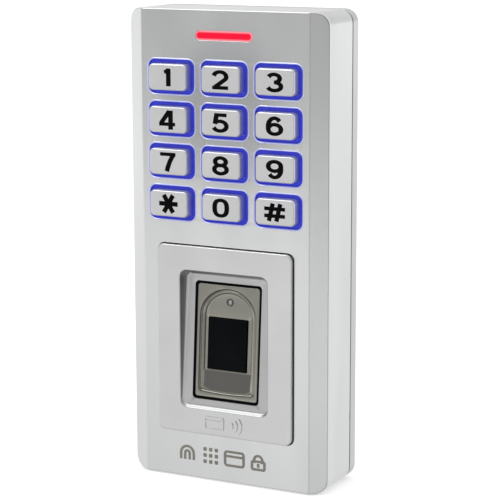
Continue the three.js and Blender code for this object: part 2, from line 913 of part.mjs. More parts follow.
addPiece('wall_plate', wallPlate(), 'zinc');

// The lock screw comes up through the bottom wall into the wall plate's lug.
function lockScrew() {
  const profile = [
    [0, -67.9],
    [2.4, -67.9],
    [2.4, -66.35],
    [1.35, -66.35],
    [1.35, -59.2],
    [0.9, -58.6],
    [0, -58.6],
  ];
  const points = profile.map(([radius, height]) => new THREE.Vector2(radius, height));
  const geometry = new THREE.LatheGeometry(points, 12);
  geometry.rotateX(Math.PI / 2);
  geometry.translate(0, yAt(lockDepth), 0);
  return geometry;
}

addPiece('lock_screw', lockScrew(), 'steel');

export default terminal;
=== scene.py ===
"""Fingerprint scanner terminal: the looks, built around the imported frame.

Lengths are millimetres until place() or leaned() turns them into Blender's metres; only the
lights are placed in metres.
A depth runs back from the front plane of the housing, so a negative depth stands proud of it.
"""
import json
import math

import bmesh
import bpy
from mathutils import Matrix, Vector
from mathutils.geometry import delaunay_2d_cdt


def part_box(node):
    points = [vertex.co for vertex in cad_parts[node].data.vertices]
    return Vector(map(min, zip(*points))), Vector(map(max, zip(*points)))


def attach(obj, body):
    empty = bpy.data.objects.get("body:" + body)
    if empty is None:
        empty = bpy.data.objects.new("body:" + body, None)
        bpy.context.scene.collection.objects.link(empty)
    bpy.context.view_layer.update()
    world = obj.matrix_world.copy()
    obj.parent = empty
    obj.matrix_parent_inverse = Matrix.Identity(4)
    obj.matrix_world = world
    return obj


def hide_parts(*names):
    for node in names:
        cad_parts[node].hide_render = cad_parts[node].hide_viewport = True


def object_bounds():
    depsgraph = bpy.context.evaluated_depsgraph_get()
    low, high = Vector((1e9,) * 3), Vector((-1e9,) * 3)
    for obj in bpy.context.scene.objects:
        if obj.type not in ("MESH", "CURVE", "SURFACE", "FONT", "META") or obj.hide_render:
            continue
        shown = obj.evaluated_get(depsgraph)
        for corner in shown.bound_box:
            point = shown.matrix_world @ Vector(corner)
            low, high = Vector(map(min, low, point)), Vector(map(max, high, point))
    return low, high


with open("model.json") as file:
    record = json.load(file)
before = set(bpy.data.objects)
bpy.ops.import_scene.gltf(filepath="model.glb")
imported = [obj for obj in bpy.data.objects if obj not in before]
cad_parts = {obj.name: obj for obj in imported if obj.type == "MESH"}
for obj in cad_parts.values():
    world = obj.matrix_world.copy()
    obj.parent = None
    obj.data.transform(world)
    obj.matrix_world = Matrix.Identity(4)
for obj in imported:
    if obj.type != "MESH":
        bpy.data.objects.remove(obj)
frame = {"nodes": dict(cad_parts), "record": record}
cad_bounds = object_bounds()

MM = 0.001


# ---------------- sizes from the frame
class Box:
    """A CAD node's box in millimetres, with depths in place of Y."""

    def __init__(self, node):
        low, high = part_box(node)
        self.x, self.z = (low.x + high.x) / 2 / MM, (low.z + high.z) / 2 / MM
        self.width, self.height = (high.x - low.x) / MM, (high.z - low.z) / MM
        self.low_z = low.z / MM
        self.front, self.back = (low.y - FRONT) / MM, (high.y - FRONT) / MM


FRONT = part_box("front_housing")[0].y
HOUSING = Box("front_housing")
PLATE = Box("wall_plate")
PANEL = Box("reader_panel")
GUIDE = Box("key_light_guide")
STATUS = Box("status_light_pipe")
WALL = 2.0
CORNER = 3.9
FACET_WIDTH = 5.1
FACET_SLOPE = 2.5 / FACET_WIDTH
CREASE = HOUSING.width / 2 - FACET_WIDTH
CREASE_BLEND = 0.5
KEYS = {name: Box("key_" + name) for name in [*"123456789", "star", "0", "hash"]}
KEY_RIM = 0.7
KEY_OPENING = (14.7, 9.8, 2.05)
SHEET_FRONT = 2.15
SHEET_BACK = 3.15
LENS_SIZE = (17.5, 2.3)
PANEL_RIM = 1.7
PANEL_GAP = 0.25
PANEL_RADIUS = 1.95
PANEL_SIZE = (PANEL.width - 2 * PANEL_RIM, PANEL.height - 2 * PANEL_RIM)
PLATE_FRONT = 18.1
PLATE_BACK = 21.8
PLATE_FLOOR = 20.0
LEAN = 0.075
SENSOR_DEPTH = 1.1
SENSOR_Z = -26.73


# ---------------- points, rings and rows
def place(x, depth, z):
    return Vector((x * MM, FRONT + depth * MM, z * MM))


LEAN_TURN = Matrix.Rotation(-math.atan(LEAN), 3, "X")


def leaned(u, e, v):
    """A point given on the leaning face of the sensor: u to the right, v up, e behind it."""
    turned = LEAN_TURN @ Vector((u, e, v))
    return place(turned.x, turned.y + SENSOR_DEPTH, turned.z + SENSOR_Z)


def rounded_ring(width, height, radius, steps=8, x=0.0, z=0.0):
    """Anticlockwise points of a rounded rectangle, each with its outward normal."""
    angles = quarter_turn(steps)
    ring = []
    for sx, sz in ((1, 1), (-1, 1), (-1, -1), (1, -1)):
        for a in angles if sx == sz else reversed(angles):
            nx, nz = sx * math.cos(a), sz * math.sin(a)
            cx, cz = sx * (width / 2 - radius), sz * (height / 2 - radius)
            ring.append((x + cx + radius * nx, z + cz + radius * nz, nx, nz))
    return ring


def curve(start, pull, end, steps=10):
    """Points from start to end on a curve drawn towards pull."""
    corners = list(zip(start, pull, end))
    return [
        tuple((1 - t) ** 2 * a + 2 * t * (1 - t) * b + t * t * c for a, b, c in corners)
        for t in (i / steps for i in range(steps + 1))
    ]


def arc(cx, cz, rx, rz, start, end, steps=20):
    turns = [math.radians(start + (end - start) * i / steps) for i in range(steps + 1)]
    return [(cx + rx * math.cos(a), cz + rz * math.sin(a)) for a in turns]


def circle(radius, steps=32, x=0.0, z=0.0):
    """A round ring, each point with its outward normal."""
    turns = [2 * math.pi * i / steps for i in range(steps)]
    normals = [(math.cos(a), math.sin(a)) for a in turns]
    return [(x + radius * nx, z + radius * nz, nx, nz) for nx, nz in normals]


def with_normals(points):
    """A closed anticlockwise outline with the outward normal worked out at each point."""
    ring = []
    for i, (x, z) in enumerate(points):
        before, after = Vector(points[i - 1]), Vector(points[(i + 1) % len(points)])
        along = (after - before).normalized()
        ring.append((x, z, along.y, -along.x))
    return ring


def quarter_turn(steps):
    return [math.pi / 2 * i / steps for i in range(steps + 1)]


def front_edge(radius, depth, steps=4, side=1):
    """(inset, depth) rows over a rounded front edge; side is -1 on the rim of a hole."""
    return [
        (side * radius * (1 - math.sin(t)), depth + radius * (1 - math.cos(t)))
        for t in quarter_turn(steps)
    ]


def back_edge(radius, depth, inset=0.0, steps=3, side=1):
    return [
        (inset + side * radius * (1 - math.cos(t)), depth - radius * (1 - math.sin(t)))
        for t in quarter_turn(steps)
    ]


def join_loops(bm, loops):
    for near, far in zip(loops, loops[1:]):
        for i in range(len(near)):
            j = (i + 1) % len(near)
            bm.faces.new((near[i], near[j], far[j], far[i]))


def add_rows(bm, ring, rows, relief=None, to_point=place):
    """Skins a ring through (inset, depth) rows and returns the loops of vertices."""
    loops = []
    for inset, depth in rows:
        loop = []
        for x, z, nx, nz in ring:
            px, pz = x - nx * inset, z - nz * inset
            drop = relief(px, pz) if relief else 0.0
            loop.append(bm.verts.new(to_point(px, depth + drop, pz)))
        loops.append(loop)
    join_loops(bm, loops)
    return loops


def add_leaned(bm, ring, rows, relief=None):
    return add_rows(bm, ring, rows, relief, leaned)


def flat_coordinates(vert):
    return Vector((vert.co.x / MM, vert.co.z / MM))


def winding(outline, point):
    """How many times an outline turns round a point."""
    turns = 0
    for i, b in enumerate(outline):
        a = outline[i - 1]
        side = (b[0] - a[0]) * (point.y - a[1]) - (point.x - a[0]) * (b[1] - a[1])
        if a[1] <= point.y < b[1] and side > 0:
            turns += 1
        elif b[1] <= point.y < a[1] and side < 0:
            turns -= 1
    return turns


def outline_edges(outlines):
    """The edges of closed outlines whose points are all in one list."""
    edges = []
    start = 0
    for outline in outlines:
        count = len(outline)
        edges += [(start + i, start + (i + 1) % count) for i in range(count)]
        start += count
    return edges


def middle_of(points, triangle):
    return sum((points[i] for i in triangle), Vector((0, 0))) / len(triangle)


def fill(bm, loops, lines=()):
    """Fills the face between an outer loop and the holes in it. lines are pairs of vertices
    that an edge has to join, such as the two ends of a crease."""
    verts = [v for loop in loops for v in loop]
    index = {v: i for i, v in enumerate(verts)}
    edges = outline_edges(loops) + [(index[a], index[b]) for a, b in lines]
    outlines = [[flat_coordinates(v) for v in loop] for loop in loops]
    flat = [point for outline in outlines for point in outline]
    points, _, triangles, origins, _, _ = delaunay_2d_cdt(flat, edges, [], 1, 1e-7)
    for triangle in triangles:
        middle = middle_of(points, triangle)
        if sum(winding(outline, middle) for outline in outlines) % 2 == 1:
            bm.faces.new([verts[origins[i][0]] for i in triangle])


def cap(bm, loop):
    bm.faces.new(loop)


def solid(bm, ring, rows, to_point=place):
    """A closed body: a ring through its rows, with a cap on each end."""
    loops = add_rows(bm, ring, rows, to_point=to_point)
    cap(bm, loops[0])
    cap(bm, loops[-1])


def boss(bm, radius, x, z, near, far, steps=28):
    """A round post with a small bevel at its back end."""
    solid(bm, circle(radius, steps, x, z), [(0, near), (0, far - 0.15), (0.15, far)])


def block(bm, x0, x1, near, far, z0, z1, edge=0.2):
    """A box with softened edges."""
    ring = rounded_ring(x1 - x0, z1 - z0, edge * 1.5, 3, (x0 + x1) / 2, (z0 + z1) / 2)
    solid(bm, ring, front_edge(edge, near, steps=2) + back_edge(edge, far, steps=2))


def lathe(bm, profile, turn, steps=32):
    """A closed turned body. profile lists (radius, height) and turn places a local point."""
    rims = []
    for radius, height in profile:
        if radius == 0:
            rims.append([bm.verts.new(turn(0, 0, height))])
        else:
            rims.append([bm.verts.new(turn(p[0], p[1], height)) for p in circle(radius, steps)])
    for near, far in zip(rims, rims[1:]):
        for i in range(steps):
            j = (i + 1) % steps
            around = ((near, i), (near, j), (far, j), (far, i))
            bm.faces.new(list(dict.fromkeys(rim[k % len(rim)] for rim, k in around)))


# ---------------- objects
def as_mesh(name, bm):
    mesh = bpy.data.meshes.new(name)
    bm.to_mesh(mesh)
    bm.free()
    return mesh


def as_object(name, data):
    thing = bpy.data.objects.new(name, data)
    bpy.context.scene.collection.objects.link(thing)
    return thing


def finish_piece(name, bm, material, body="root", replaces=(), smooth=38, weight=True):
    """Makes a bmesh a shaded piece; edges of more than smooth degrees stay sharp."""
    bmesh.ops.recalc_face_normals(bm, faces=bm.faces[:])
    mesh = as_mesh(name, bm)
    piece = as_object(name, mesh)
    mesh.materials.append(material)
    mesh.polygons.foreach_set("use_smooth", [True] * len(mesh.polygons))
    mesh.set_sharp_from_angle(angle=math.radians(smooth))
    if weight:
        weighted = piece.modifiers.new("even_shading", "WEIGHTED_NORMAL")
        weighted.keep_sharp = True
        weighted.weight = 90
    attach(piece, body)
    if replaces:
        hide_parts(*replaces)
    return piece


def second_finish(piece, material, chosen):
    """Gives the faces of a piece that chosen() picks another material."""
    piece.data.materials.append(material)
    for face in piece.data.polygons:
        if chosen(face):
            face.material_index = len(piece.data.materials) - 1


# ---------------- shading
class Shading:
    """A node tree with short calls for adding nodes."""

    def __init__(self, owner):
        owner.use_nodes = True
        self.nodes = owner.node_tree.nodes
        self.links = owner.node_tree.links

    def feed(self, socket, value):
        """Links a socket to the output given, or sets it to a number, vector or colour."""
        if isinstance(value, bpy.types.NodeSocket):
            self.links.new(value, socket)
        elif socket.type == "RGBA":
            socket.default_value = (*value, 1)
        else:
            socket.default_value = value

    def add(self, kind, inputs):
        node = self.nodes.new("ShaderNode" + kind)
        for socket, value in inputs.items():
            self.feed(node.inputs[socket], value)
        return node

    def mix(self, share, first, second, kind="MIX"):
        node = self.add("MixRGB", {0: share, 1: first, 2: second})
        node.blend_type = kind
        return node.outputs[0]

    def maths(self, operation, first, second):
        node = self.add("Math", {0: first, 1: second})
        node.operation = operation
        return node.outputs[0]

    def spread(self, value, low, high, from_low=0.3, from_high=0.7):
        return self.add("MapRange", {
            "Value": value, "From Min": from_low, "From Max": from_high,
            "To Min": low, "To Max": high,
        }).outputs["Result"]


MATERIALS = {}


class Recipe(Shading):
    """A Principled material in the object's own coordinates."""

    def __init__(self, name, colour, roughness, metallic=0.0, **sockets):
        self.material = bpy.data.materials.new(name)
        MATERIALS[name] = self.material
        super().__init__(self.material)
        self.inputs = self.nodes["Principled BSDF"].inputs
        self.colour = colour
        self.feed(self.inputs["Base Color"], colour)
        self.feed(self.inputs["Roughness"], roughness)
        self.feed(self.inputs["Metallic"], metallic)
        for socket, value in sockets.items():
            self.feed(self.inputs[socket.replace("_", " ")], value)
        self.where = self.add("TexCoord", {}).outputs["Object"]
        self.height = None

    def noise(self, per_mm, detail=3.0, stretch=(1, 1, 1)):
        """Noise with so many lumps to the millimetre; a small stretch draws them out."""
        scale = [per_mm / MM * s for s in stretch]
        mapped = self.add("Mapping", {"Vector": self.where, "Scale": scale}).outputs["Vector"]
        return self.add("TexNoise", {"Vector": mapped, "Scale": 1.0, "Detail": detail}).outputs[0]

    def vary_roughness(self, value, low, high):
        self.feed(self.inputs["Roughness"], self.spread(value, low, high))

    def vary_colour(self, value, other, amount=1.0):
        share = self.spread(value, 0, amount)
        self.feed(self.inputs["Base Color"], self.mix(share, self.colour, other))

    def paint_shade_round(self, middle, reach, other):
        """Painted shade: fades the colour to another towards a place on the front; middle and reach
        in mm.
        """
        scale = [1 / (reach[0] * MM), 0, 1 / (reach[1] * MM)]
        shift = [-middle[0] * MM * scale[0], 0, -middle[1] * MM * scale[2]]
        mapped = self.add("Mapping", {"Vector": self.where, "Location": shift, "Scale": scale})
        gradient = self.add("TexGradient", {"Vector": mapped.outputs["Vector"]})
        gradient.gradient_type = "SPHERICAL"
        share = self.spread(gradient.outputs["Color"], 0, 1, 0.0, 0.7)
        share.node.interpolation_type = "SMOOTHSTEP"
        base = self.inputs["Base Color"]
        self.feed(base, self.mix(share, base.links[0].from_socket, other))

    def bump(self, value, strength, distance=0.05):
        node = self.add("Bump", {"Strength": strength, "Distance": distance * MM, "Height": value})
        if self.height:
            self.feed(node.inputs["Normal"], self.height)
        self.height = node.outputs["Normal"]
        self.feed(self.inputs["Normal"], self.height)

    def glow(self, share, first, second, strength):
        self.feed(self.inputs["Emission Color"], self.mix(share, first, second))
        self.feed(self.inputs["Emission Strength"], strength)


# ---------------- camera, floor and light
CAMERA_AZIMUTH = 26.757
CAMERA_ELEVATION = 10.987
CAMERA_ROLL = 0.155
CAMERA_DISTANCE = 518.448
CAMERA_ASIDE = 7.105
CAMERA_RISE = 0.506
CAMERA_LENS = 131.883


def make_camera():
    azimuth, elevation = math.radians(CAMERA_AZIMUTH), math.radians(CAMERA_ELEVATION)
    back = Vector((
        math.sin(azimuth) * math.cos(elevation),
        -math.cos(azimuth) * math.cos(elevation),
        math.sin(elevation),
    ))
    roll = Matrix.Rotation(math.radians(-CAMERA_ROLL), 3, "Z")
    look = (-back).to_track_quat("-Z", "Y").to_matrix() @ roll
    middle = Vector((0, FRONT, 0))
    aside = look @ Vector((CAMERA_ASIDE, CAMERA_RISE, 0))
    camera_data = bpy.data.cameras.new("camera")
    camera_data.lens = CAMERA_LENS
    camera_data.sensor_width = 36
    camera_data.clip_start, camera_data.clip_end = 0.01, 100
    camera = as_object("camera", camera_data)
    camera.location = middle + (back * CAMERA_DISTANCE + aside) * MM
    camera.rotation_mode = "QUATERNION"
    camera.rotation_quaternion = look.to_quaternion()
    bpy.context.scene.camera = camera


def area_light(name, where, size, power):
    """A rectangular light that points at the middle of the object."""
    data = bpy.data.lights.new(name, "AREA")
    data.shape = "RECTANGLE"
    data.size, data.size_y = size
    data.energy = power
    light = as_object(name, data)
    light.location = where
    light.rotation_mode = "QUATERNION"
    light.rotation_quaternion = (-Vector(where)).to_track_quat("-Z", "Y")


# Each pair is a direction along one axis, from -1 to 1, and the brightness or share there.
WORLD_FRONT = [
    (-1.0, 0.3), (-0.55, 0.45), (-0.32, 0.68), (-0.24, 0.8), (-0.18, 1.3), (-0.12, 0.18),
    (0.0, 0.72), (0.1, 0.3), (0.45, 0.3), (0.75, 1.0), (1.0, 1.0),
]
WORLD_BEHIND = [
    (-1.0, 0.6), (-0.3, 0.78), (-0.1, 0.95), (0.0, 0.95), (0.12, 0.72), (0.35, 0.68), (1.0, 1.0),
]
WORLD_ACROSS = [
    (-1.0, 1.0), (-0.8, 1.0), (-0.53, 0.92), (-0.37, 1.09), (0.0, 1.0), (0.2, 0.6), (0.36, 0.97),
    (0.5, 1.0), (0.75, 0.35), (1.0, 0.3),
]
WORLD_TURN = [(-1.0, 1.0), (-0.5, 1.0), (-0.15, 0.0), (1.0, 0.0)]
WORLD_STRENGTH = 1.15


def make_world():
    """A pale studio: bright overhead and behind, and banded greys in front."""
    world = bpy.data.worlds.new("studio")
    bpy.context.scene.world = world
    studio = Shading(world)
    direction = studio.add("TexCoord", {}).outputs["Generated"]
    axes = studio.add("SeparateXYZ", {0: direction}).outputs

    def ramp(axis, stops):
        band = studio.add("ValToRGB", {0: studio.spread(axes[axis], 0, 1, -1, 1)})
        elements = band.color_ramp.elements
        while len(elements) < len(stops):
            elements.new(0.5)
        for element, (at, level) in zip(elements, stops):
            element.position = (at + 1) / 2
            element.color = (level, level, level, 1)
        return band.outputs["Color"]

    front = studio.mix(1.0, ramp("Z", WORLD_FRONT), ramp("X", WORLD_ACROSS), "MULTIPLY")
    whole = studio.mix(ramp("Y", WORLD_TURN), ramp("Z", WORLD_BEHIND), front)
    background = studio.nodes["Background"].inputs
    studio.feed(background["Color"], whole)
    studio.feed(background["Strength"], WORLD_STRENGTH)


FLOOR_GLOW = 0.35
FLOOR_REACH = 30000
FLOOR_DROP = 0.3


def make_floor():
    """A pale floor just under the terminal, wide enough to fill every view."""
    bm = bmesh.new()
    cap(bm, [bm.verts.new((x * MM, z * MM, 0)) for x, z, _, _ in circle(FLOOR_REACH, 96)])
    floor = as_object("floor", as_mesh("floor", bm))
    floor.location.z = cad_bounds[0].z - FLOOR_DROP * MM
    pale = Recipe(
        "pale_floor", (0.9, 0.9, 0.9), 0.9, Specular_IOR_Level=0.1,
        Emission_Color=(1, 1, 1), Emission_Strength=FLOOR_GLOW,
    )
    floor.data.materials.append(pale.material)
    floor.visible_glossy = False


make_camera()
make_world()
make_floor()
area_light("key_light", (-0.5, -0.7, 0.9), (0.7, 0.7), 3)
area_light("side_light", (0.9, 0.1, 0.35), (0.5, 0.8), 0.8)
bpy.context.scene.view_settings.view_transform = "Standard"


# ---------------- materials
EVEN = (1, 1, 1)
DRAWN_OUT = (1, 1, 0.05)


def satin_metal(
    name, colour, shade, rough, grain=0.12, streak=DRAWN_OUT, bands=0.0, painted_shade=None, **sockets
):
    """Plated metal with fine grain, brushed streaks, faint broad bands and painted shade round one
    place.
    """
    recipe = Recipe(name, colour, rough, 1.0, **sockets)
    fine = recipe.noise(9.0, 2.0, streak)
    broad = recipe.noise(0.045, 2.0, [s if s == 1 else s * 4 for s in streak])
    recipe.vary_roughness(fine, rough - 0.02, rough + 0.02)
    if bands:
        brushed = recipe.noise(1.1, 3.0, [s if s == 1 else s / 2 for s in streak])
        shares = recipe.maths("MULTIPLY", brushed, 0.05), recipe.maths("MULTIPLY", broad, 0.95)
        recipe.vary_colour(recipe.maths("ADD", *shares), shade)
    else:
        recipe.vary_colour(broad, shade)
    if painted_shade:
        recipe.paint_shade_round(*painted_shade)
    recipe.bump(fine, grain, 0.02)
    if bands:
        recipe.bump(broad, bands, 1.0)
    return recipe.material


def moulded(name, colour, shade, rough, texture=3.0, depth=0.02, **sockets):
    """Moulded plastic or rubber with a fine spark-eroded texture."""
    recipe = Recipe(name, colour, rough, 0.0, **sockets)
    grain = recipe.noise(texture)
    recipe.vary_colour(recipe.noise(0.12), shade, 0.8)
    recipe.vary_roughness(grain, rough - 0.06, rough + 0.08)
    recipe.bump(grain, 0.35, depth)
    return recipe.material


def blue_light():
    """Clear plastic lit from behind, a little uneven along its length."""
    recipe = Recipe("blue_glow", (0.01, 0.012, 0.1), 0.45, Specular_IOR_Level=0.2)
    lumps = recipe.noise(0.35, 2.0)
    recipe.glow(recipe.spread(lumps, 0, 1), (0.0272, 0.0336, 0.4), (0.034, 0.042, 0.5), 1.0)
    recipe.vary_colour(lumps, (0.007, 0.0084, 0.07))
    recipe.bump(recipe.noise(2.0), 0.15, 0.01)
    return recipe.material


def red_lens():
    """Red plastic lit from behind, which shows paler where it thins towards its rim."""
    recipe = Recipe("red_glow", (0.2, 0.0, 0.01), 0.4, Specular_IOR_Level=0.2)
    maths = recipe.maths
    axes = recipe.add("SeparateXYZ", {0: recipe.where}).outputs
    straight = (LENS_SIZE[0] - LENS_SIZE[1]) / 2 * MM
    along = maths("SUBTRACT", maths("ABSOLUTE", axes["X"], 0.0), straight)
    along = maths("MAXIMUM", along, 0.0)
    across = maths("SUBTRACT", axes["Z"], STATUS.z * MM)
    squares = maths("ADD", maths("MULTIPLY", along, along), maths("MULTIPLY", across, across))
    rim = recipe.spread(maths("SQRT", squares, 0.0), 0, 1, 0.72 * MM, 1.1 * MM)
    recipe.glow(rim, (0.78, 0.0, 0.025), (0.9, 0.28, 0.33), 1.0)
    recipe.vary_colour(recipe.noise(0.35, 2.0), (0.15, 0.0, 0.01))
    recipe.bump(recipe.noise(2.0), 0.15, 0.01)
    return recipe.material


def circuit_board():
    """Green solder mask over copper tracks, which show as a faint raised pattern."""
    recipe = Recipe("circuit_board", (0.012, 0.11, 0.04), 0.35)
    cells = recipe.add("TexVoronoi", {"Vector": recipe.where, "Scale": 0.45 / MM})
    cells.distance = "MANHATTAN"
    tracks = recipe.spread(cells.outputs["Distance"], 0, 1, 0.28, 0.34)
    recipe.vary_colour(tracks, (0.02, 0.2, 0.07))
    recipe.bump(tracks, 0.4, 0.03)


# Painted shade round and between the keys: the housing metal darkens towards the keypad's middle.
KEYPAD_PAINTED_SHADE = ((0, 38.5), (27, 30), (0.52, 0.53, 0.54))
METAL = satin_metal(
    "housing_metal", (0.79, 0.795, 0.8), (0.69, 0.695, 0.7), 0.24, 0.012,
    bands=0.05, painted_shade=KEYPAD_PAINTED_SHADE,
)
KEY_METAL = satin_metal("key_metal", (0.86, 0.86, 0.86), (0.8, 0.8, 0.81), 0.38, 0.2, EVEN)
PANEL_METAL = satin_metal("panel_plastic", (0.8, 0.8, 0.805), (0.73, 0.73, 0.735), 0.32, 0.04, EVEN)
# Painted shade: the wall plate takes a darker copy of the housing metal.
PLATE_METAL_SHADE = satin_metal("plate_metal_painted_shade", (0.68, 0.685, 0.69), (0.58, 0.585, 0.59), 0.3, bands=0.05)
KEY_WALL = satin_metal("key_wall", (0.82, 0.82, 0.84), (0.76, 0.76, 0.78), 0.5, 0.04)
# Painted shade: darker copies of the panel finish for the walls and floor of the finger recess.
RECESS_WALL_SHADE = satin_metal("recess_wall", (0.42, 0.424, 0.43), (0.38, 0.384, 0.39), 0.3, 0.1, EVEN)
RECESS_FLOOR_SHADE = satin_metal("recess_floor_painted_shade", (0.66, 0.66, 0.665), (0.6, 0.6, 0.605), 0.32, 0.05, EVEN)
# Painted glow and painted reflection: the lip metal is tinted lavender and emits faint blue light
# where the key light would fall on it.
LIP_PAINTED_GLOW = satin_metal(
    "lip_painted_glow", (0.72, 0.73, 0.84), (0.66, 0.67, 0.8), 0.3, 0.05, EVEN,
    Emission_Color=(0.35, 0.4, 1.0), Emission_Strength=0.28,
)
BEZEL = satin_metal("sensor_bezel", (0.41, 0.4, 0.35), (0.35, 0.345, 0.305), 0.22, 0.04)
# The ramp's own darker finish, also used as painted shade on the sloped steps round the finger
# guide.
BEZEL_RAMP_AND_STEP_SHADE = satin_metal("sensor_ramp_and_step_shade", (0.205, 0.2, 0.188), (0.175, 0.171, 0.16), 0.38, 0.004)
STEEL = satin_metal("plain_steel", (0.55, 0.55, 0.56), (0.45, 0.45, 0.46), 0.28, 0.1, EVEN)
BLUE = blue_light()
RED = red_lens()
GLASS = moulded(
    "sensor_glass", (0.003, 0.004, 0.004), (0.004, 0.005, 0.006), 0.2, 0.5, 0.002,
    Specular_IOR_Level=0.03,
)
RUBBER = moulded(
    "black_rubber", (0.007, 0.007, 0.007), (0.012, 0.012, 0.012), 0.7, 4.0, Specular_IOR_Level=0.15,
)
INK = moulded(
    "key_ink", (0.0015, 0.0015, 0.0015), (0.004, 0.004, 0.004), 0.6, 4.0, 0.005,
    Specular_IOR_Level=0.05,
)
GREY_INK = moulded(
    "pictogram_ink", (0.2, 0.19, 0.165), (0.23, 0.22, 0.19), 0.5, 4.0, 0.005,
    Specular_IOR_Level=0.3,
)
# These are only on CAD nodes, which take them by the names of their slots.
circuit_board()
moulded("pale_silicone", (0.66, 0.66, 0.68), (0.6, 0.6, 0.64), 0.5)
moulded("black_plastic", (0.015, 0.015, 0.017), (0.025, 0.025, 0.027), 0.5, 3.5)
moulded("white_plastic", (0.72, 0.71, 0.66), (0.68, 0.66, 0.6), 0.5)
moulded("relay_plastic", (0.02, 0.12, 0.42), (0.018, 0.1, 0.36), 0.35)
moulded("led_package", (0.85, 0.82, 0.6), (0.85, 0.83, 0.7), 0.3, 2.0)


def dress_cad_nodes():
    """Every CAD node gets the material named like its slot; those replaced later are hidden."""
    slots = {part["node"]: part["material_slot"] for part in frame["record"]["subparts"]}
    for name, node in frame["nodes"].items():
        node.data.materials.clear()
        node.data.materials.append(MATERIALS[slots[name]])


dress_cad_nodes()


# ---------------- front housing
LOCK = Box("lock_screw")
LOCK_DEPTH = LOCK.front + LOCK.width / 2
SHELL_BACK = HOUSING.back - 0.12
SHELL_EDGE = 0.35
KEY_LIP = 0.1
LENS_CLEARANCE = 0.3
LENS_HOLE_LIP = 0.2
PANEL_HOLE_LIP = 0.14
NOTCH_Z = -48.7
NOTCH_HALF = 0.8
BOARD_BOSS = (2.0, 1.4, 6.35)
COVER_BOSS = (2.3, 2.6, 15.85)


def about_lock(a, b, height):
    """A point of something turned about the upright axis of the lock screw."""
    return place(a, LOCK_DEPTH + b, height)


def carve(bm, tool):
    """Takes one closed body out of another and returns what is left."""
    pair = []
    for part in (bm, tool):
        bmesh.ops.recalc_face_normals(part, faces=part.faces[:])
        pair.append(as_object("part", as_mesh("part", part)))
    cut = pair[0].modifiers.new("cut", "BOOLEAN")
    cut.operation = "DIFFERENCE"
    cut.solver = "EXACT"
    cut.object = pair[1]
    seen = pair[0].evaluated_get(bpy.context.evaluated_depsgraph_get())
    result = bmesh.new()
    result.from_mesh(seen.to_mesh())
    seen.to_mesh_clear()
    for part in pair:
        bpy.data.meshes.remove(part.data)
    return result


def add_body(bm, other):
    """Puts one bmesh's bodies into another."""
    mesh = as_mesh("body", other)
    bm.from_mesh(mesh)
    bpy.data.meshes.remove(mesh)


def lock_drill():
    """The counterbored hole of the lock screw, as a body to take away."""
    tool = bmesh.new()
    profile = [(0, -70), (2.7, -70), (2.7, -66.2), (1.7, -66.2), (1.7, -62), (0, -62)]
    lathe(tool, profile, about_lock, 48)
    return tool


def facet(x, _z):
    """How far the front falls away at x, with the crease softened."""
    past = abs(x) - CREASE
    if past < -CREASE_BLEND:
        return 0.0
    if past > CREASE_BLEND:
        return FACET_SLOPE * past
    return FACET_SLOPE * (past + CREASE_BLEND) ** 2 / (4 * CREASE_BLEND)


INNER_CREASE = CREASE - WALL * math.tan(math.atan(FACET_SLOPE) / 2)


def inner_facet(x, _z):
    return FACET_SLOPE * max(0.0, abs(x) - INNER_CREASE)


def creased_outline(bends):
    """The housing's outline, with a point on its top and bottom edges at every bend."""
    ring = rounded_ring(HOUSING.width, HOUSING.height, CORNER, 14)
    quarter = len(ring) // 4
    half = HOUSING.height / 2
    top = [(x, half, 0, 1) for x in sorted(bends, reverse=True)]
    bottom = [(x, -half, 0, -1) for x in sorted(bends)]
    return ring[:quarter] + top + ring[quarter:3 * quarter] + bottom + ring[3 * quarter:]


def crease_lines(loop, places):
    """Pairs of vertices at the top and bottom of a loop that share each x in places."""
    lines = []
    for at in places:
        found = [v for v in loop if abs(v.co.x / MM - at) < 1e-3]
        lines.append((max(found, key=lambda v: v.co.z), min(found, key=lambda v: v.co.z)))
    return lines


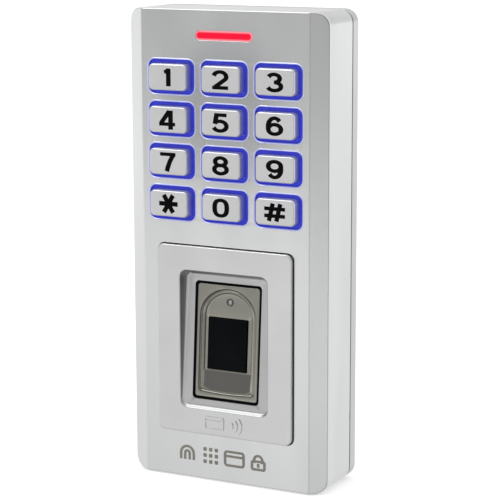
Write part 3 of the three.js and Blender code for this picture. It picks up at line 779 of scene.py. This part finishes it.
def front_housing():
    bm = bmesh.new()
    bends = [side * (CREASE + CREASE_BLEND * k / 2) for k in (-2, -1, 0, 1, 2) for side in (-1, 1)]
    inner_bends = [-INNER_CREASE, INNER_CREASE]
    outline = creased_outline(bends + inner_bends)
    rim = add_rows(bm, outline, front_edge(SHELL_EDGE, 0), facet)
    side = add_rows(bm, outline, back_edge(0.2, SHELL_BACK) + [(WALL, SHELL_BACK)])
    inside = add_rows(bm, outline, [(WALL, WALL)], inner_facet)
    join_loops(bm, [rim[-1], side[0]])
    join_loops(bm, [side[-1], inside[0]])
    holes = [(rounded_ring(*KEY_OPENING, 8, key.x, key.z), KEY_LIP) for key in KEYS.values()]
    lens = [size + LENS_CLEARANCE for size in LENS_SIZE]
    holes.append((rounded_ring(*lens, 1.29, 8, 0, STATUS.z), LENS_HOLE_LIP))
    panel = [size + 2 * PANEL_GAP for size in PANEL_SIZE]
    holes.append((rounded_ring(*panel, PANEL_RADIUS + PANEL_GAP, 10, 0, PANEL.z), PANEL_HOLE_LIP))
    front_loops, back_loops = [rim[0]], [inside[0]]
    for ring, lip in holes:
        loops = add_rows(bm, ring, front_edge(lip, 0, side=-1, steps=5) + [(0, WALL)])
        front_loops.append(loops[0])
        back_loops.append(loops[-1])
    fill(bm, front_loops, crease_lines(rim[0], bends))
    fill(bm, back_loops, crease_lines(inside[0], inner_bends))
    half = HOUSING.width / 2
    notch = bmesh.new()
    heights = NOTCH_Z - NOTCH_HALF, NOTCH_Z + NOTCH_HALF
    block(notch, half - 0.6, half + 2, HOUSING.back - 0.5, HOUSING.back + 2, *heights, 0.1)
    bm = carve(carve(bm, lock_drill()), notch)
    pad = bmesh.new()
    block(pad, -5, 5, LOCK_DEPTH - 3, HOUSING.back - 0.05, -66.4, -63.6)
    add_body(bm, carve(pad, lock_drill()))
    for kind, (radius, near, far) in (("board", BOARD_BOSS), ("cover", COVER_BOSS)):
        for i in (1, 2, 3, 4):
            screw = Box(f"{kind}_screw_{i}")
            boss(bm, radius, screw.x, screw.z, near, far)
    finish_piece(
        "housing_shell", bm, METAL, replaces=["front_housing"], smooth=30,
    )


front_housing()


# ---------------- keys, their light and the status bar
KEY_FLANGE_FRONT = 3.4
KEY_RADIUS = 1.3
KEY_EDGE = 0.42
LIGHT_OUTSIDE = (14.4, 9.5, 1.9)
LIGHT_BORE = (12.6, 8.0, 1.6)
LIP_BAND = 0.8


def keycap(name, key):
    size = key.width - 2 * KEY_RIM, key.height - 2 * KEY_RIM
    rows = front_edge(KEY_EDGE, key.front, steps=6)
    rows += [(0, KEY_FLANGE_FRONT), (-KEY_RIM, KEY_FLANGE_FRONT)]
    rows += back_edge(0.15, key.back, -KEY_RIM)
    bm = bmesh.new()
    solid(bm, rounded_ring(*size, KEY_RADIUS, 8, key.x, key.z), rows)
    piece = finish_piece(
        "keycap_" + name, bm, KEY_METAL, "key_" + name, ["key_" + name], 40,
    )
    second_finish(piece, KEY_WALL, lambda face: face.normal.y > -0.3)


for key_name, key_box in KEYS.items():
    keycap(key_name, key_box)


def key_light_guide():
    """One clear moulding: a sheet behind the front with a ring standing up round every key."""
    bm = bmesh.new()
    sheet = rounded_ring(GUIDE.width, GUIDE.height, 2.6, 6, GUIDE.x, GUIDE.z)
    outside = add_rows(bm, sheet, [
        (0.1, SHEET_FRONT), (0, SHEET_FRONT + 0.1), (0, SHEET_BACK - 0.1), (0.1, SHEET_BACK),
    ])
    front_loops, back_loops = [outside[0]], [outside[-1]]
    for key in KEYS.values():
        outer = rounded_ring(*LIGHT_OUTSIDE, 8, key.x, key.z)
        inner = rounded_ring(*LIGHT_BORE, 8, key.x, key.z)
        rise = add_rows(bm, outer, [(0, SHEET_FRONT)] + front_edge(0.25, GUIDE.front)[::-1])
        bore = add_rows(bm, inner, front_edge(0.2, GUIDE.front, side=-1) + [(0, SHEET_BACK)])
        join_loops(bm, [rise[-1], bore[0]])
        front_loops.append(rise[0])
        back_loops.append(bore[-1])
    fill(bm, front_loops)
    fill(bm, back_loops)
    finish_piece("key_light_rings", bm, BLUE, replaces=["key_light_guide"])


key_light_guide()


def key_lips():
    """The rolled lip round every key opening, with a painted blue glow standing in for the key
    light falling on it.
    """
    bm = bmesh.new()
    width, height, radius = KEY_OPENING
    for key in KEYS.values():
        size = width + LIP_BAND, height + LIP_BAND, radius + LIP_BAND / 2
        rows = add_rows(bm, rounded_ring(*size, 8, key.x, key.z), [
            (0, 0.3), (0, 0.04), (0.05, -0.04), (0.15, -0.1), (0.26, -0.1), (0.37, -0.03),
            (0.44, 0.1), (0.45, 0.3),
        ])
        join_loops(bm, [rows[-1], rows[0]])
    finish_piece("key_lips", bm, LIP_PAINTED_GLOW)


key_lips()


def status_bar():
    bm = bmesh.new()
    foot = (LENS_SIZE[0] - STATUS.width) / 2 + 0.4
    solid(bm, rounded_ring(*LENS_SIZE, 1.14, 8, 0, STATUS.z), [
        (0.5, -0.13), (0.25, -0.11), (0.08, -0.04), (0, 0.1), (0, SHEET_FRONT), (foot, SHEET_FRONT),
        (foot, SHEET_BACK), (0.3, SHEET_BACK), (0.3, STATUS.back),
    ])
    finish_piece("status_lens", bm, RED, replaces=["status_light_pipe"])


status_bar()


# ---------------- reader panel
FLANGE_FRONT = 2.7
FLANGE_BACK = 3.8
PANEL_EDGE = 0.28
RECESS = (28.12, 40.5, 2.4)
RECESS_Z = -26.47
RECESS_DRAFT = 0.25
FOOT_DRAFT = 1.0
RECESS_LIP = 0.5
RECESS_FILLET = 0.9
FLOOR_E = -0.2
SEAT = (21.3, 34.45, 1.1)
SEAT_BACK = 2.2
THROAT = (18.6, 31.8, 0.8)
TUB = (33.0, 45.0, 2.0)
TUB_BACK = 6.4
READER_BOSS = (2.0, 6.2, 9.5)
READER_BOSS_PLACES = [(-13.4, -27.0), (13.4, -27.0)]


def leaned_back_to(depth, v):
    """How far behind the leaning face a point at height v is when it reaches a depth."""
    turn = math.atan(LEAN)
    return (depth - SENSOR_DEPTH - v * math.sin(turn)) / math.cos(turn)


def recess_wall(bm):
    """The rounded lip, drafted wall and foot fillet of the finger recess, down to its floor."""
    floor_fall = SENSOR_DEPTH + FLOOR_E - PANEL.front
    columns = []
    for x, z, nx, nz in rounded_ring(*RECESS, 12, 0, RECESS_Z):
        draft = RECESS_DRAFT + (FOOT_DRAFT - RECESS_DRAFT) * max(0.0, -nz) ** 2
        slope = math.atan(draft)
        end = (floor_fall + LEAN * (z - SENSOR_Z)) / (1 + LEAN * nz * draft)
        column = []
        tangent = RECESS_LIP * math.tan((math.pi / 2 - slope) / 2)
        for i in range(6):
            t = (math.pi / 2 - slope) * i / 5
            column.append((tangent - RECESS_LIP * math.sin(t), RECESS_LIP * (1 - math.cos(t))))
        fillet = min(RECESS_FILLET, 0.6 * (end - column[-1][1]))
        near = (-draft * (end - fillet), end - fillet)
        far = (-draft * end - fillet, end - LEAN * nz * fillet)
        column += curve(near, (-draft * end, end), far, 4)
        columns.append([
            bm.verts.new(place(x + nx * o, PANEL.front + fall, z + nz * o)) for o, fall in column
        ])
    loops = [list(loop) for loop in zip(*columns)]
    join_loops(bm, loops)
    return loops[0], loops[-1]


def reader_panel():
    bm = bmesh.new()
    outline = rounded_ring(*PANEL_SIZE, PANEL_RADIUS, 10, 0, PANEL.z)
    outside = add_rows(bm, outline, front_edge(PANEL_EDGE, PANEL.front, steps=5) + [
        (0, FLANGE_FRONT), (-PANEL_RIM, FLANGE_FRONT), (-PANEL_RIM, FLANGE_BACK),
    ])
    lip, foot = recess_wall(bm)
    fill(bm, [outside[0], lip])
    seat = add_leaned(bm, rounded_ring(*SEAT, 6), [
        (-0.12, FLOOR_E), (-0.035, FLOOR_E + 0.035), (0, FLOOR_E + 0.12), (0, SEAT_BACK),
    ])
    fill(bm, [foot, seat[0]])
    tub_rows = [(0, FLANGE_BACK), (0, TUB_BACK - 0.2), (0.2, TUB_BACK)]
    tub = add_rows(bm, rounded_ring(*TUB, 6, 0, RECESS_Z), tub_rows)
    throat = [(x, z) for x, z, _, _ in rounded_ring(*THROAT, 6)]
    throat_front = [bm.verts.new(leaned(x, SEAT_BACK, z)) for x, z in throat]
    throat_back = [bm.verts.new(leaned(x, leaned_back_to(TUB_BACK, z), z)) for x, z in throat]
    join_loops(bm, [seat[-1], throat_front, throat_back])
    fill(bm, [outside[-1], tub[0]])
    fill(bm, [tub[-1], throat_back])
    radius, near, far = READER_BOSS
    for at in READER_BOSS_PLACES:
        boss(bm, radius, *at, near, far, 24)
    piece = finish_piece(
        "reader_shell", bm, PANEL_METAL, replaces=["reader_panel"], smooth=28,
    )

    def depth(face):
        return (face.center.y - FRONT) / MM

    def is_inside(face):
        x, z = face.center.x / MM, face.center.z / MM
        return abs(x) < RECESS[0] / 2 + 0.2 and abs(z - RECESS_Z) < RECESS[1] / 2 + 0.2

    def is_wall(face):
        """The walls of the recess, which get painted shade; how much of the fillets counts depends
        on the side.
        """
        limit = -0.85 if face.normal.z > 0.3 else -0.95 if face.normal.z < -0.2 else -0.6
        return is_inside(face) and limit < face.normal.y < 0.3 and depth(face) < 6

    def is_floor(face):
        return is_inside(face) and face.normal.y < -0.85 and depth(face) > PANEL.front + 0.6

    def is_glint_fillet(face):
        """The left fillet, which turns towards the right and gets a painted highlight."""
        return is_floor(face) and face.normal.y > -0.985 and face.normal.x > 0.1

    # Painted shade: the recess walls and floor take darker copies of the panel finish.
    second_finish(piece, RECESS_WALL_SHADE, is_wall)
    second_finish(piece, RECESS_FLOOR_SHADE, lambda face: is_floor(face) and not is_wall(face))
    # Painted highlight: the left foot fillet takes the brighter key metal.
    second_finish(piece, KEY_METAL, is_glint_fillet)


reader_panel()


# ---------------- finger sensor
FRAME_SIZE = (19.9, 33.0, 0.8)
FRAME_LIP = 1.2
FRAME_BODY = (18.0, 31.2, 0.8)
FRAME_BACK = 5.0
WINDOW = (12.45, 14.95, 0.2)
WINDOW_ASIDE = -0.3
WINDOW_LIFT = -0.74
ARCH_SHOULDER = 7.3
ARCH_STEP = 0.55
GUIDE_FLOOR = 0.95
RAMP_TOP = -8.75
RAMP_RISE = 0.075
GUIDE_INSIDE = (7.55, 14.1, -14.6, 0.95)
GUIDE_OUTSIDE = (9.1, 15.5, -15.1, 1.6)
GUIDE_SAG = 0.35
PIN = (0.1, 11.46)
SINK_RADIUS = 1.15


def arch_ring(half, apex, foot, corner):
    """The finger guide: straight sides, a half-ellipse at the top and a shallow curve below."""
    points = arc(0, ARCH_SHOULDER, half, apex - ARCH_SHOULDER, 0, 180, 32)
    points += [(-half, 0.0), (-half, RAMP_TOP)]
    left = curve((-half, foot + corner), (-half, foot), (corner - half, foot), 6)
    below = curve((corner - half, foot), (0, foot - 2 * GUIDE_SAG), (half - corner, foot), 8)
    points += left + below[1:-1] + [(-x, z) for x, z in reversed(left)]
    return with_normals(points + [(half, RAMP_TOP), (half, 0.0)])


def on_frame(point):
    """Where a point lies on the leaning face, as (u, e, v)."""
    return LEAN_TURN.inverted() @ ((point - place(0, SENSOR_DEPTH, SENSOR_Z)) / MM)


def ramp(_u, v):
    return -RAMP_RISE * max(0.0, RAMP_TOP - v)


def sensor_frame():
    bm = bmesh.new()
    lip = front_edge(0.25, 0) + [(0, FRAME_LIP)]
    outside = add_leaned(bm, rounded_ring(*FRAME_SIZE, 6), lip)
    stem = [(0, FRAME_LIP), (0, FRAME_BACK)]
    body = add_leaned(bm, rounded_ring(*FRAME_BODY, 6), stem)
    join_loops(bm, [outside[-1], body[0]])
    outer = add_leaned(bm, arch_ring(*GUIDE_OUTSIDE), [
        (-0.12, 0), (0.0, 0.04), (0.3, ARCH_STEP - 0.06), (0.42, ARCH_STEP),
        (0.6, ARCH_STEP - 0.1), (0.82, ARCH_STEP - 0.15), (1.04, ARCH_STEP - 0.1),
    ])
    fill(bm, [outside[0], outer[0]])
    ring = arch_ring(*GUIDE_INSIDE)
    inner = add_leaned(bm, ring, [(-0.32, ARCH_STEP), (-0.18, ARCH_STEP + 0.03)])
    inner_foot = add_leaned(bm, ring, [(0.12, GUIDE_FLOOR - 0.04), (0.27, GUIDE_FLOOR)], ramp)
    join_loops(bm, [outer[-1], inner[0]])
    join_loops(bm, [inner[-1], inner_foot[0]])
    size = WINDOW[0] + 0.2, WINDOW[1] + 0.2, 0.3
    opening = add_leaned(bm, rounded_ring(*size, 5, WINDOW_ASIDE, WINDOW_LIFT), [
        (-0.22, GUIDE_FLOOR), (-0.08, GUIDE_FLOOR + 0.05), (0, GUIDE_FLOOR + 0.2), (0, FRAME_BACK),
    ])
    sink = add_leaned(bm, circle(SINK_RADIUS, 32, *PIN), [
        (0, GUIDE_FLOOR), (0.35, GUIDE_FLOOR + 0.3), (0.5, GUIDE_FLOOR + 0.3),
        (0.55, GUIDE_FLOOR + 0.05), (0.7, GUIDE_FLOOR - 0.06),
    ])
    cap(bm, sink[-1])
    crease = [v for v in inner_foot[-1] if abs(on_frame(v.co).z - RAMP_TOP) < 0.02]
    fill(bm, [inner_foot[-1], opening[0], sink[0]], [tuple(crease)])
    fill(bm, [body[-1], opening[-1]])
    piece = finish_piece(
        "finger_guide", bm, BEZEL, replaces=["sensor_frame"], smooth=25,
    )

    def is_ramp(face):
        at = on_frame(face.center)
        return face.normal.y < -0.9 and ARCH_STEP + 0.1 < at.y and at.z < RAMP_TOP

    def is_step(face):
        at = on_frame(face.center)
        near = abs(at.x) < 9.3 and -15.3 < at.z < 15.7 and at.y < FRAME_LIP
        return -0.85 < face.normal.y < -0.15 and near

    def is_pin(face):
        at = on_frame(face.center)
        return math.hypot(at.x - PIN[0], at.z - PIN[1]) < 0.62 and face.normal.y < -0.2

    # The ramp has its own darker finish; on the sloped steps the same colour is painted shade.
    second_finish(piece, BEZEL_RAMP_AND_STEP_SHADE, lambda face: is_ramp(face) or is_step(face))
    second_finish(piece, STEEL, is_pin)


sensor_frame()


def sensor_window():
    bm = bmesh.new()
    ring = rounded_ring(*WINDOW, 5, WINDOW_ASIDE, WINDOW_LIFT)
    solid(bm, ring, front_edge(0.2, 0.45) + [(0, 2.0)], leaned)
    finish_piece("finger_window", bm, GLASS, replaces=["sensor_window"])


sensor_window()


# ---------------- numerals
def turned_over(points):
    return [(1 - x, 1 - z) for x, z in points]


SQUARISH_POWER = 2.5


def squarish():
    """A closed loop in the unit box, between an ellipse and a rectangle."""
    return [
        tuple(0.5 + 0.5 * math.copysign(abs(n) ** (2 / SQUARISH_POWER), n) for n in (nx, nz))
        for _, _, nx, nz in circle(1, 40)
    ]


def loop_around(cx, cz, rx, rz):
    return arc(cx, cz, rx, rz, 0, 360, 36)[:-1]


SIX_SWEEP = arc(0.5, 0.5, 0.5, 0.5, 38, 180) + [(0, 0.3)]
# Strokes in a unit box: True marks a closed one. The nib is wider than it is tall.
NUMERALS = {
    "1": [(False, [(0.05, 0.8), (0.42, 0.83), (0.66, 0.93)]), (False, [(0.7, 1.0), (0.7, 0.0)])],
    "2": [
        (False, arc(0.5, 0.7, 0.5, 0.3, 172, -32) + [(0.06, 0.03)]),
        (False, [(-0.14, 0.0), (1.16, 0.0)]),
    ],
    "3": [
        (False, arc(0.46, 0.755, 0.44, 0.245, 162, -88)),
        (False, arc(0.48, 0.25, 0.52, 0.255, 94, -165)),
    ],
    "4": [
        (False, [(0.64, 1.05), (-0.04, 0.28)]), (False, [(-0.2, 0.22), (1.14, 0.22)]),
        (False, [(0.76, 1.11), (0.76, -0.12)]),
    ],
    "5": [
        (False, [(0.06, 1.0), (1.02, 1.0)]), (False, [(0.22, 1.1), (0.07, 0.42)]),
        (False, arc(0.47, 0.3, 0.53, 0.31, 132, -162)),
    ],
    "6": [(False, SIX_SWEEP), (True, loop_around(0.5, 0.3, 0.5, 0.3))],
    "7": [
        (False, [(-0.16, 1.0), (1.14, 1.0)]),
        (False, curve((0.96, 0.98), (0.6, 0.55), (0.4, -0.11))),
    ],
    "8": [
        (True, loop_around(0.5, 0.755, 0.43, 0.245)),
        (True, loop_around(0.5, 0.258, 0.5, 0.268)),
    ],
    "9": [(False, turned_over(SIX_SWEEP)), (True, turned_over(loop_around(0.5, 0.3, 0.5, 0.3)))],
    "0": [(True, squarish())],
}
NIB = (1.48, 1.0)


def stroke_outlines(points, closed, nib):
    """The oriented outlines of a stroke drawn with an elliptical nib."""
    left, right = [], []
    last = len(points) - 1
    for i, (x, z) in enumerate(points):
        if closed:
            before, after = points[i - 1], points[(i + 1) % len(points)]
        else:
            before, after = points[max(0, i - 1)], points[min(last, i + 1)]
        along = (Vector(after) - Vector(before)).normalized()
        nx, nz = -along.y, along.x
        half = 0.5 * math.hypot(nib[0] * nx, nib[1] * nz)
        left.append((x + nx * half, z + nz * half))
        right.append((x - nx * half, z - nz * half))
    if closed:
        return [left, right[::-1]]
    return [left + right[::-1]]


def part_fans(triangles, points):
    """Where filled regions touch at one point only, each gets its own copy of the point."""
    around = {}
    for triangle in triangles:
        for i in triangle:
            around.setdefault(i, []).append(triangle)
    for i, left in around.items():
        first = True
        while left:
            fan = [left.pop()]
            for member in fan:
                touching = [t for t in left if len(set(t) & set(member)) > 1]
                fan += touching
                left = [t for t in left if t not in touching]
            if not first:
                points.append(points[i])
                for triangle in fan:
                    triangle[triangle.index(i)] = len(points) - 1
            first = False


def raised_shape(bm, strokes, near, far):
    """One closed body for the union of strokes, each a list of outlines, between two depths."""
    outlines = [outline for stroke in strokes for outline in stroke]
    flat = [Vector(point) for outline in outlines for point in outline]
    points, _, triangles, _, _, _ = delaunay_2d_cdt(flat, outline_edges(outlines), [], 0, 1e-5)
    kept = []
    for triangle in triangles:
        middle = middle_of(points, triangle)
        if any(sum(winding(outline, middle) for outline in stroke) for stroke in strokes):
            kept.append(list(triangle))
    points = list(points)
    part_fans(kept, points)
    used = sorted({i for triangle in kept for i in triangle})
    front = {i: bm.verts.new(place(points[i].x, near, points[i].y)) for i in used}
    back = {i: bm.verts.new(place(points[i].x, far, points[i].y)) for i in used}
    sides = {}
    for triangle in kept:
        bm.faces.new([front[i] for i in triangle])
        bm.faces.new([back[i] for i in reversed(triangle)])
        for i, a in enumerate(triangle):
            b = triangle[(i + 1) % len(triangle)]
            sides[(a, b)] = (b, a) not in sides
            if not sides[(a, b)]:
                sides[(b, a)] = False
    for (a, b), lone in sides.items():
        if lone:
            bm.faces.new((front[a], front[b], back[b], back[a]))


STAR_ARM = (3.0, 2.9)
STAR_NIB = (1.45, 1.3)
HASH_LEAN = math.tan(math.radians(13.5))
HASH_REACH = (3.2, 2.5)
HASH_SPLIT = (1.15, 1.0)
HASH_NIB = (1.35, 1.05)
DIGIT_SIZE = (3.85, 4.4)
ONE_SIZE = (2.1, 5.0)


def numeral_strokes(name, x, z):
    if name == "star":
        turns = (0, math.pi / 3, -math.pi / 3)
        arms = [(STAR_ARM[0] * math.cos(a), STAR_ARM[1] * math.sin(a)) for a in turns]
        lines = [[(x - ax, z - az), (x + ax, z + az)] for ax, az in arms]
        return [stroke_outlines(line, False, STAR_NIB) for line in lines]
    if name == "hash":
        (reach, rise), (split_x, split_z) = HASH_REACH, HASH_SPLIT
        lean = rise * HASH_LEAN
        across = [[(x - reach, z + s), (x + reach, z + s)] for s in (-split_z, split_z)]
        down = [[(x + s - lean, z - rise), (x + s + lean, z + rise)] for s in (-split_x, split_x)]
        return [stroke_outlines(line, False, HASH_NIB) for line in across + down]
    width, height = ONE_SIZE if name == "1" else DIGIT_SIZE
    strokes = []
    for closed, points in NUMERALS[name]:
        scaled = [(x + (px - 0.5) * width, z + (pz - 0.5) * height) for px, pz in points]
        strokes.append(stroke_outlines(scaled, closed, NIB))
    return strokes


def numeral(name, key):
    bm = bmesh.new()
    raised_shape(bm, numeral_strokes(name, key.x, key.z), key.front - 0.03, key.front + 0.05)
    finish_piece("numeral_" + name, bm, INK, "key_" + name, weight=False)


for key_name, key_box in KEYS.items():
    numeral(key_name, key_box)


# ---------------- pictograms
EMBOSS = 0.32
PRINT_Z = -60.85
PRINT_SIZE = 4.9
PRINT_PLACES = [-12.7, -5.0, 2.7, 10.4]
PRINT_NIB = (0.85, 0.75)


def drawn(paths, nib):
    """The strokes of a drawing, given as (closed, points) in millimetres."""
    return [stroke_outlines(points, closed, nib) for closed, points in paths]


def rounded_path(width, height, radius, x, z):
    return [(px, pz) for px, pz, _, _ in rounded_ring(width, height, radius, 4, x, z)]


def arch_path(middle, foot, top, reach, steps):
    """Up one side, over a half-circle and down the other side."""
    over = arc(middle, top, reach, reach, 180, 0, steps)
    return [(middle - reach, foot)] + over + [(middle + reach, foot)]


def card_symbol():
    """A card and the waves of a reader, moulded on the panel below the finger recess."""
    x, z = 0.0, -50.55
    paths = [
        (True, rounded_path(5.9, 3.5, 0.6, x - 3.2, z)),
        (False, [(x - 6.15, z + 0.65), (x - 0.25, z + 0.65)]),
    ]
    for reach in (1.5, 2.9, 4.3):
        paths.append((False, arc(x + 1.3, z, reach, reach * 0.85, -38, 38, 10)))
    bm = bmesh.new()
    raised_shape(bm, drawn(paths, (0.5, 0.5)), PANEL.front - EMBOSS, PANEL.front + 0.05)
    finish_piece("card_symbol", bm, PANEL_METAL, weight=False)


card_symbol()


def printed_row():
    """Four plain symbols on the housing: finger, keypad, card and padlock."""
    finger, keypad, card, lock = PRINT_PLACES
    z = PRINT_Z
    top = z + PRINT_SIZE / 2 - 0.4
    bottom = z - PRINT_SIZE / 2 + 0.4
    paths = [(False, arch_path(finger, bottom, top - 2.2, reach, 16)) for reach in (0.75, 2.1)]
    paths += [
        (True, rounded_path(6.0, PRINT_SIZE - 0.8, 0.7, card, z)),
        (False, [(card - 3.0, z + 0.7), (card + 3.0, z + 0.7)]),
        (True, rounded_path(4.0, 2.4, 0.4, lock, bottom + 1.2)),
        (False, [(lock, bottom + 0.6), (lock, bottom + 1.8)]),
        (False, arch_path(lock, z - 0.2, top - 1.3, 1.3, 14)),
    ]
    strokes = drawn(paths, PRINT_NIB)
    for column in (-1, 0, 1):
        for row in (-1, 0, 1):
            dot = rounded_path(1.15, 1.15, 0.3, keypad + 1.85 * column, z + 1.85 * row)
            strokes.append([dot])
    bm = bmesh.new()
    raised_shape(bm, strokes, -0.02, 0.06)
    finish_piece("printed_symbols", bm, GREY_INK, weight=False)


printed_row()


# ---------------- seals
def sensor_gasket():
    """Rubber channel that lines the seam round the finger guide and seats behind its lip."""
    bm = bmesh.new()
    walls = []
    for size, depths in (
        ((21.2, 34.35, 1.05), (1.95, 0.03)), ((20.95, 34.1, 0.95), (0.0, 0.85)),
        ((20.2, 33.3, 0.95), (0.95, 0.16)), ((19.98, 33.08, 0.84), (0.14, 1.4)),
        ((19.0, 32.2, 0.8), (1.4, 1.95)),
    ):
        rows = [(0, depth) for depth in depths]
        walls.append(add_leaned(bm, rounded_ring(*size, 6), rows))
    for i, wall in enumerate(walls):
        join_loops(bm, [walls[i - 1][-1], wall[0]])
    finish_piece("guide_gasket", bm, RUBBER, replaces=["sensor_gasket"])


sensor_gasket()


def housing_gasket():
    bm = bmesh.new()
    near, far = HOUSING.back + 0.03, PLATE_FRONT - 0.03
    loops = []
    for inset, side in ((0.8, 1), (1.75, -1)):
        size = HOUSING.width - 2 * inset, HOUSING.height - 2 * inset, CORNER - inset
        rows = front_edge(0.1, near, steps=2, side=side) + back_edge(0.1, far, steps=2, side=side)
        loops.append(add_rows(bm, rounded_ring(*size, 14), rows))
    outer, inner = loops
    join_loops(bm, [outer[0], inner[0]])
    join_loops(bm, [outer[-1], inner[-1]])
    finish_piece("seam_gasket", bm, RUBBER, replaces=["housing_gasket"])


housing_gasket()


# ---------------- wall plate, cable inlet, lock screw
GROMMET = Box("cable_grommet")
OPENING = (24.0, 22.0, 2.5)
WALL_HOLES = [(x, z) for x in (-22.0, 22.0) for z in (-48.0, 48.0)]
WALL_HOLE_RADIUS = 2.1
HOOK_X = 15.0
HOOK_Z = 57.2
HOOK_FRONT = 14.6


def wall_plate():
    bm = bmesh.new()
    outline = rounded_ring(PLATE.width, PLATE.height, CORNER, 14)
    outside = add_rows(bm, outline, [
        (WALL, PLATE_FRONT), (0.2, PLATE_FRONT), (0.06, PLATE_FRONT + 0.06), (0, PLATE_FRONT + 0.2),
    ] + back_edge(0.45, PLATE_BACK, steps=4))
    pocket = add_rows(bm, outline, [(WALL, PLATE_FLOOR - 0.3), (WALL + 0.3, PLATE_FLOOR)])
    join_loops(bm, [outside[0], pocket[0]])
    near = [pocket[-1]]
    far = [outside[-1]]
    rims = [rounded_ring(*OPENING, 6, 0, GROMMET.z)]
    rims += [circle(WALL_HOLE_RADIUS, 28, *at) for at in WALL_HOLES]
    for ring in rims:
        loops = add_rows(bm, ring, [
            (-0.2, PLATE_FLOOR), (0, PLATE_FLOOR + 0.2),
            (0, PLATE_BACK - 0.25), (-0.25, PLATE_BACK),
        ])
        near.append(loops[0])
        far.append(loops[-1])
    fill(bm, near)
    fill(bm, far)
    for side in (-1, 1):
        x0, x1 = side * HOOK_X - 3, side * HOOK_X + 3
        block(bm, x0, x1, HOOK_FRONT, PLATE_FLOOR + 0.3, HOOK_Z, HOOK_Z + 1.5)
        block(bm, x0, x1, HOOK_FRONT, HOOK_FRONT + 1.1, HOOK_Z + 0.8, HOOK_Z + 2.8)
    lug = bmesh.new()
    block(lug, -5, 5, LOCK_DEPTH - 2.7, PLATE_FLOOR + 0.3, -63.1, -59.6)
    tool = bmesh.new()
    lathe(tool, [(0, -66), (1.6, -66), (1.6, -57), (0, -57)], about_lock, 40)
    add_body(bm, carve(lug, tool))
    finish_piece(
        "back_plate", bm, PLATE_METAL_SHADE, replaces=["wall_plate"], smooth=30,
    )


wall_plate()


def grommet():
    """The cable inlet: a collared rubber ring with a thin lip round its bore."""
    bm = bmesh.new()
    profile = [
        (3.7, 14.9), (6.2, 14.9), (6.55, 15.1), (6.6, 15.5), (6.6, 15.8), (6.5, 15.88), (5.1, 15.9),
        (5.1, 17.6), (6.4, 17.62), (6.6, 17.7), (6.6, 17.95), (6.4, 18.2), (5.6, 18.6), (4.2, 18.6),
        (3.9, 18.45), (3.75, 18.1), (4.1, 17.7), (4.1, 15.6),
    ]
    rings = []
    for radius, depth in profile:
        rings += add_rows(bm, circle(radius, 48, GROMMET.x, GROMMET.z), [(0, depth)])
    join_loops(bm, rings + [rings[0]])
    finish_piece("cable_inlet_ring", bm, RUBBER, replaces=["cable_grommet"])


grommet()


def lock_screw():
    """The screw in the underside, with a six-sided recess in its head."""
    bm = bmesh.new()
    low = LOCK.low_z
    steps = 48
    profile = [
        (1.35, low), (2.2, low), (2.35, low + 0.06), (2.4, low + 0.2), (2.4, low + 1.4),
        (2.3, low + 1.55), (1.35, low + 1.55),
    ]
    height = low + 1.8
    profile.append((1.35, height))
    while height < -59.4:
        profile += [(1.12, height + 0.25), (1.35, height + 0.5)]
        height += 0.5
    profile += [(0.9, -58.65), (0.7, -58.6)]
    rims = [[bm.verts.new(about_lock(p[0], p[1], h)) for p in circle(r, steps)] for r, h in profile]
    join_loops(bm, rims)
    cap(bm, rims[-1])
    hexes = []
    for depth in (0.0, 0.1, 1.0):
        loop = []
        for i in range(steps):
            a = 2 * math.pi * i / steps
            part = (a % (math.pi / 3)) - math.pi / 6
            reach = (1.1 if depth else 1.2) * math.cos(math.pi / 6) / math.cos(part)
            across = reach * math.cos(a), reach * math.sin(a)
            loop.append(bm.verts.new(about_lock(*across, low + depth)))
        hexes.append(loop)
    join_loops(bm, [rims[0]] + hexes)
    cap(bm, hexes[-1])
    finish_piece("locking_screw", bm, STEEL, replaces=["lock_screw"])


lock_screw()
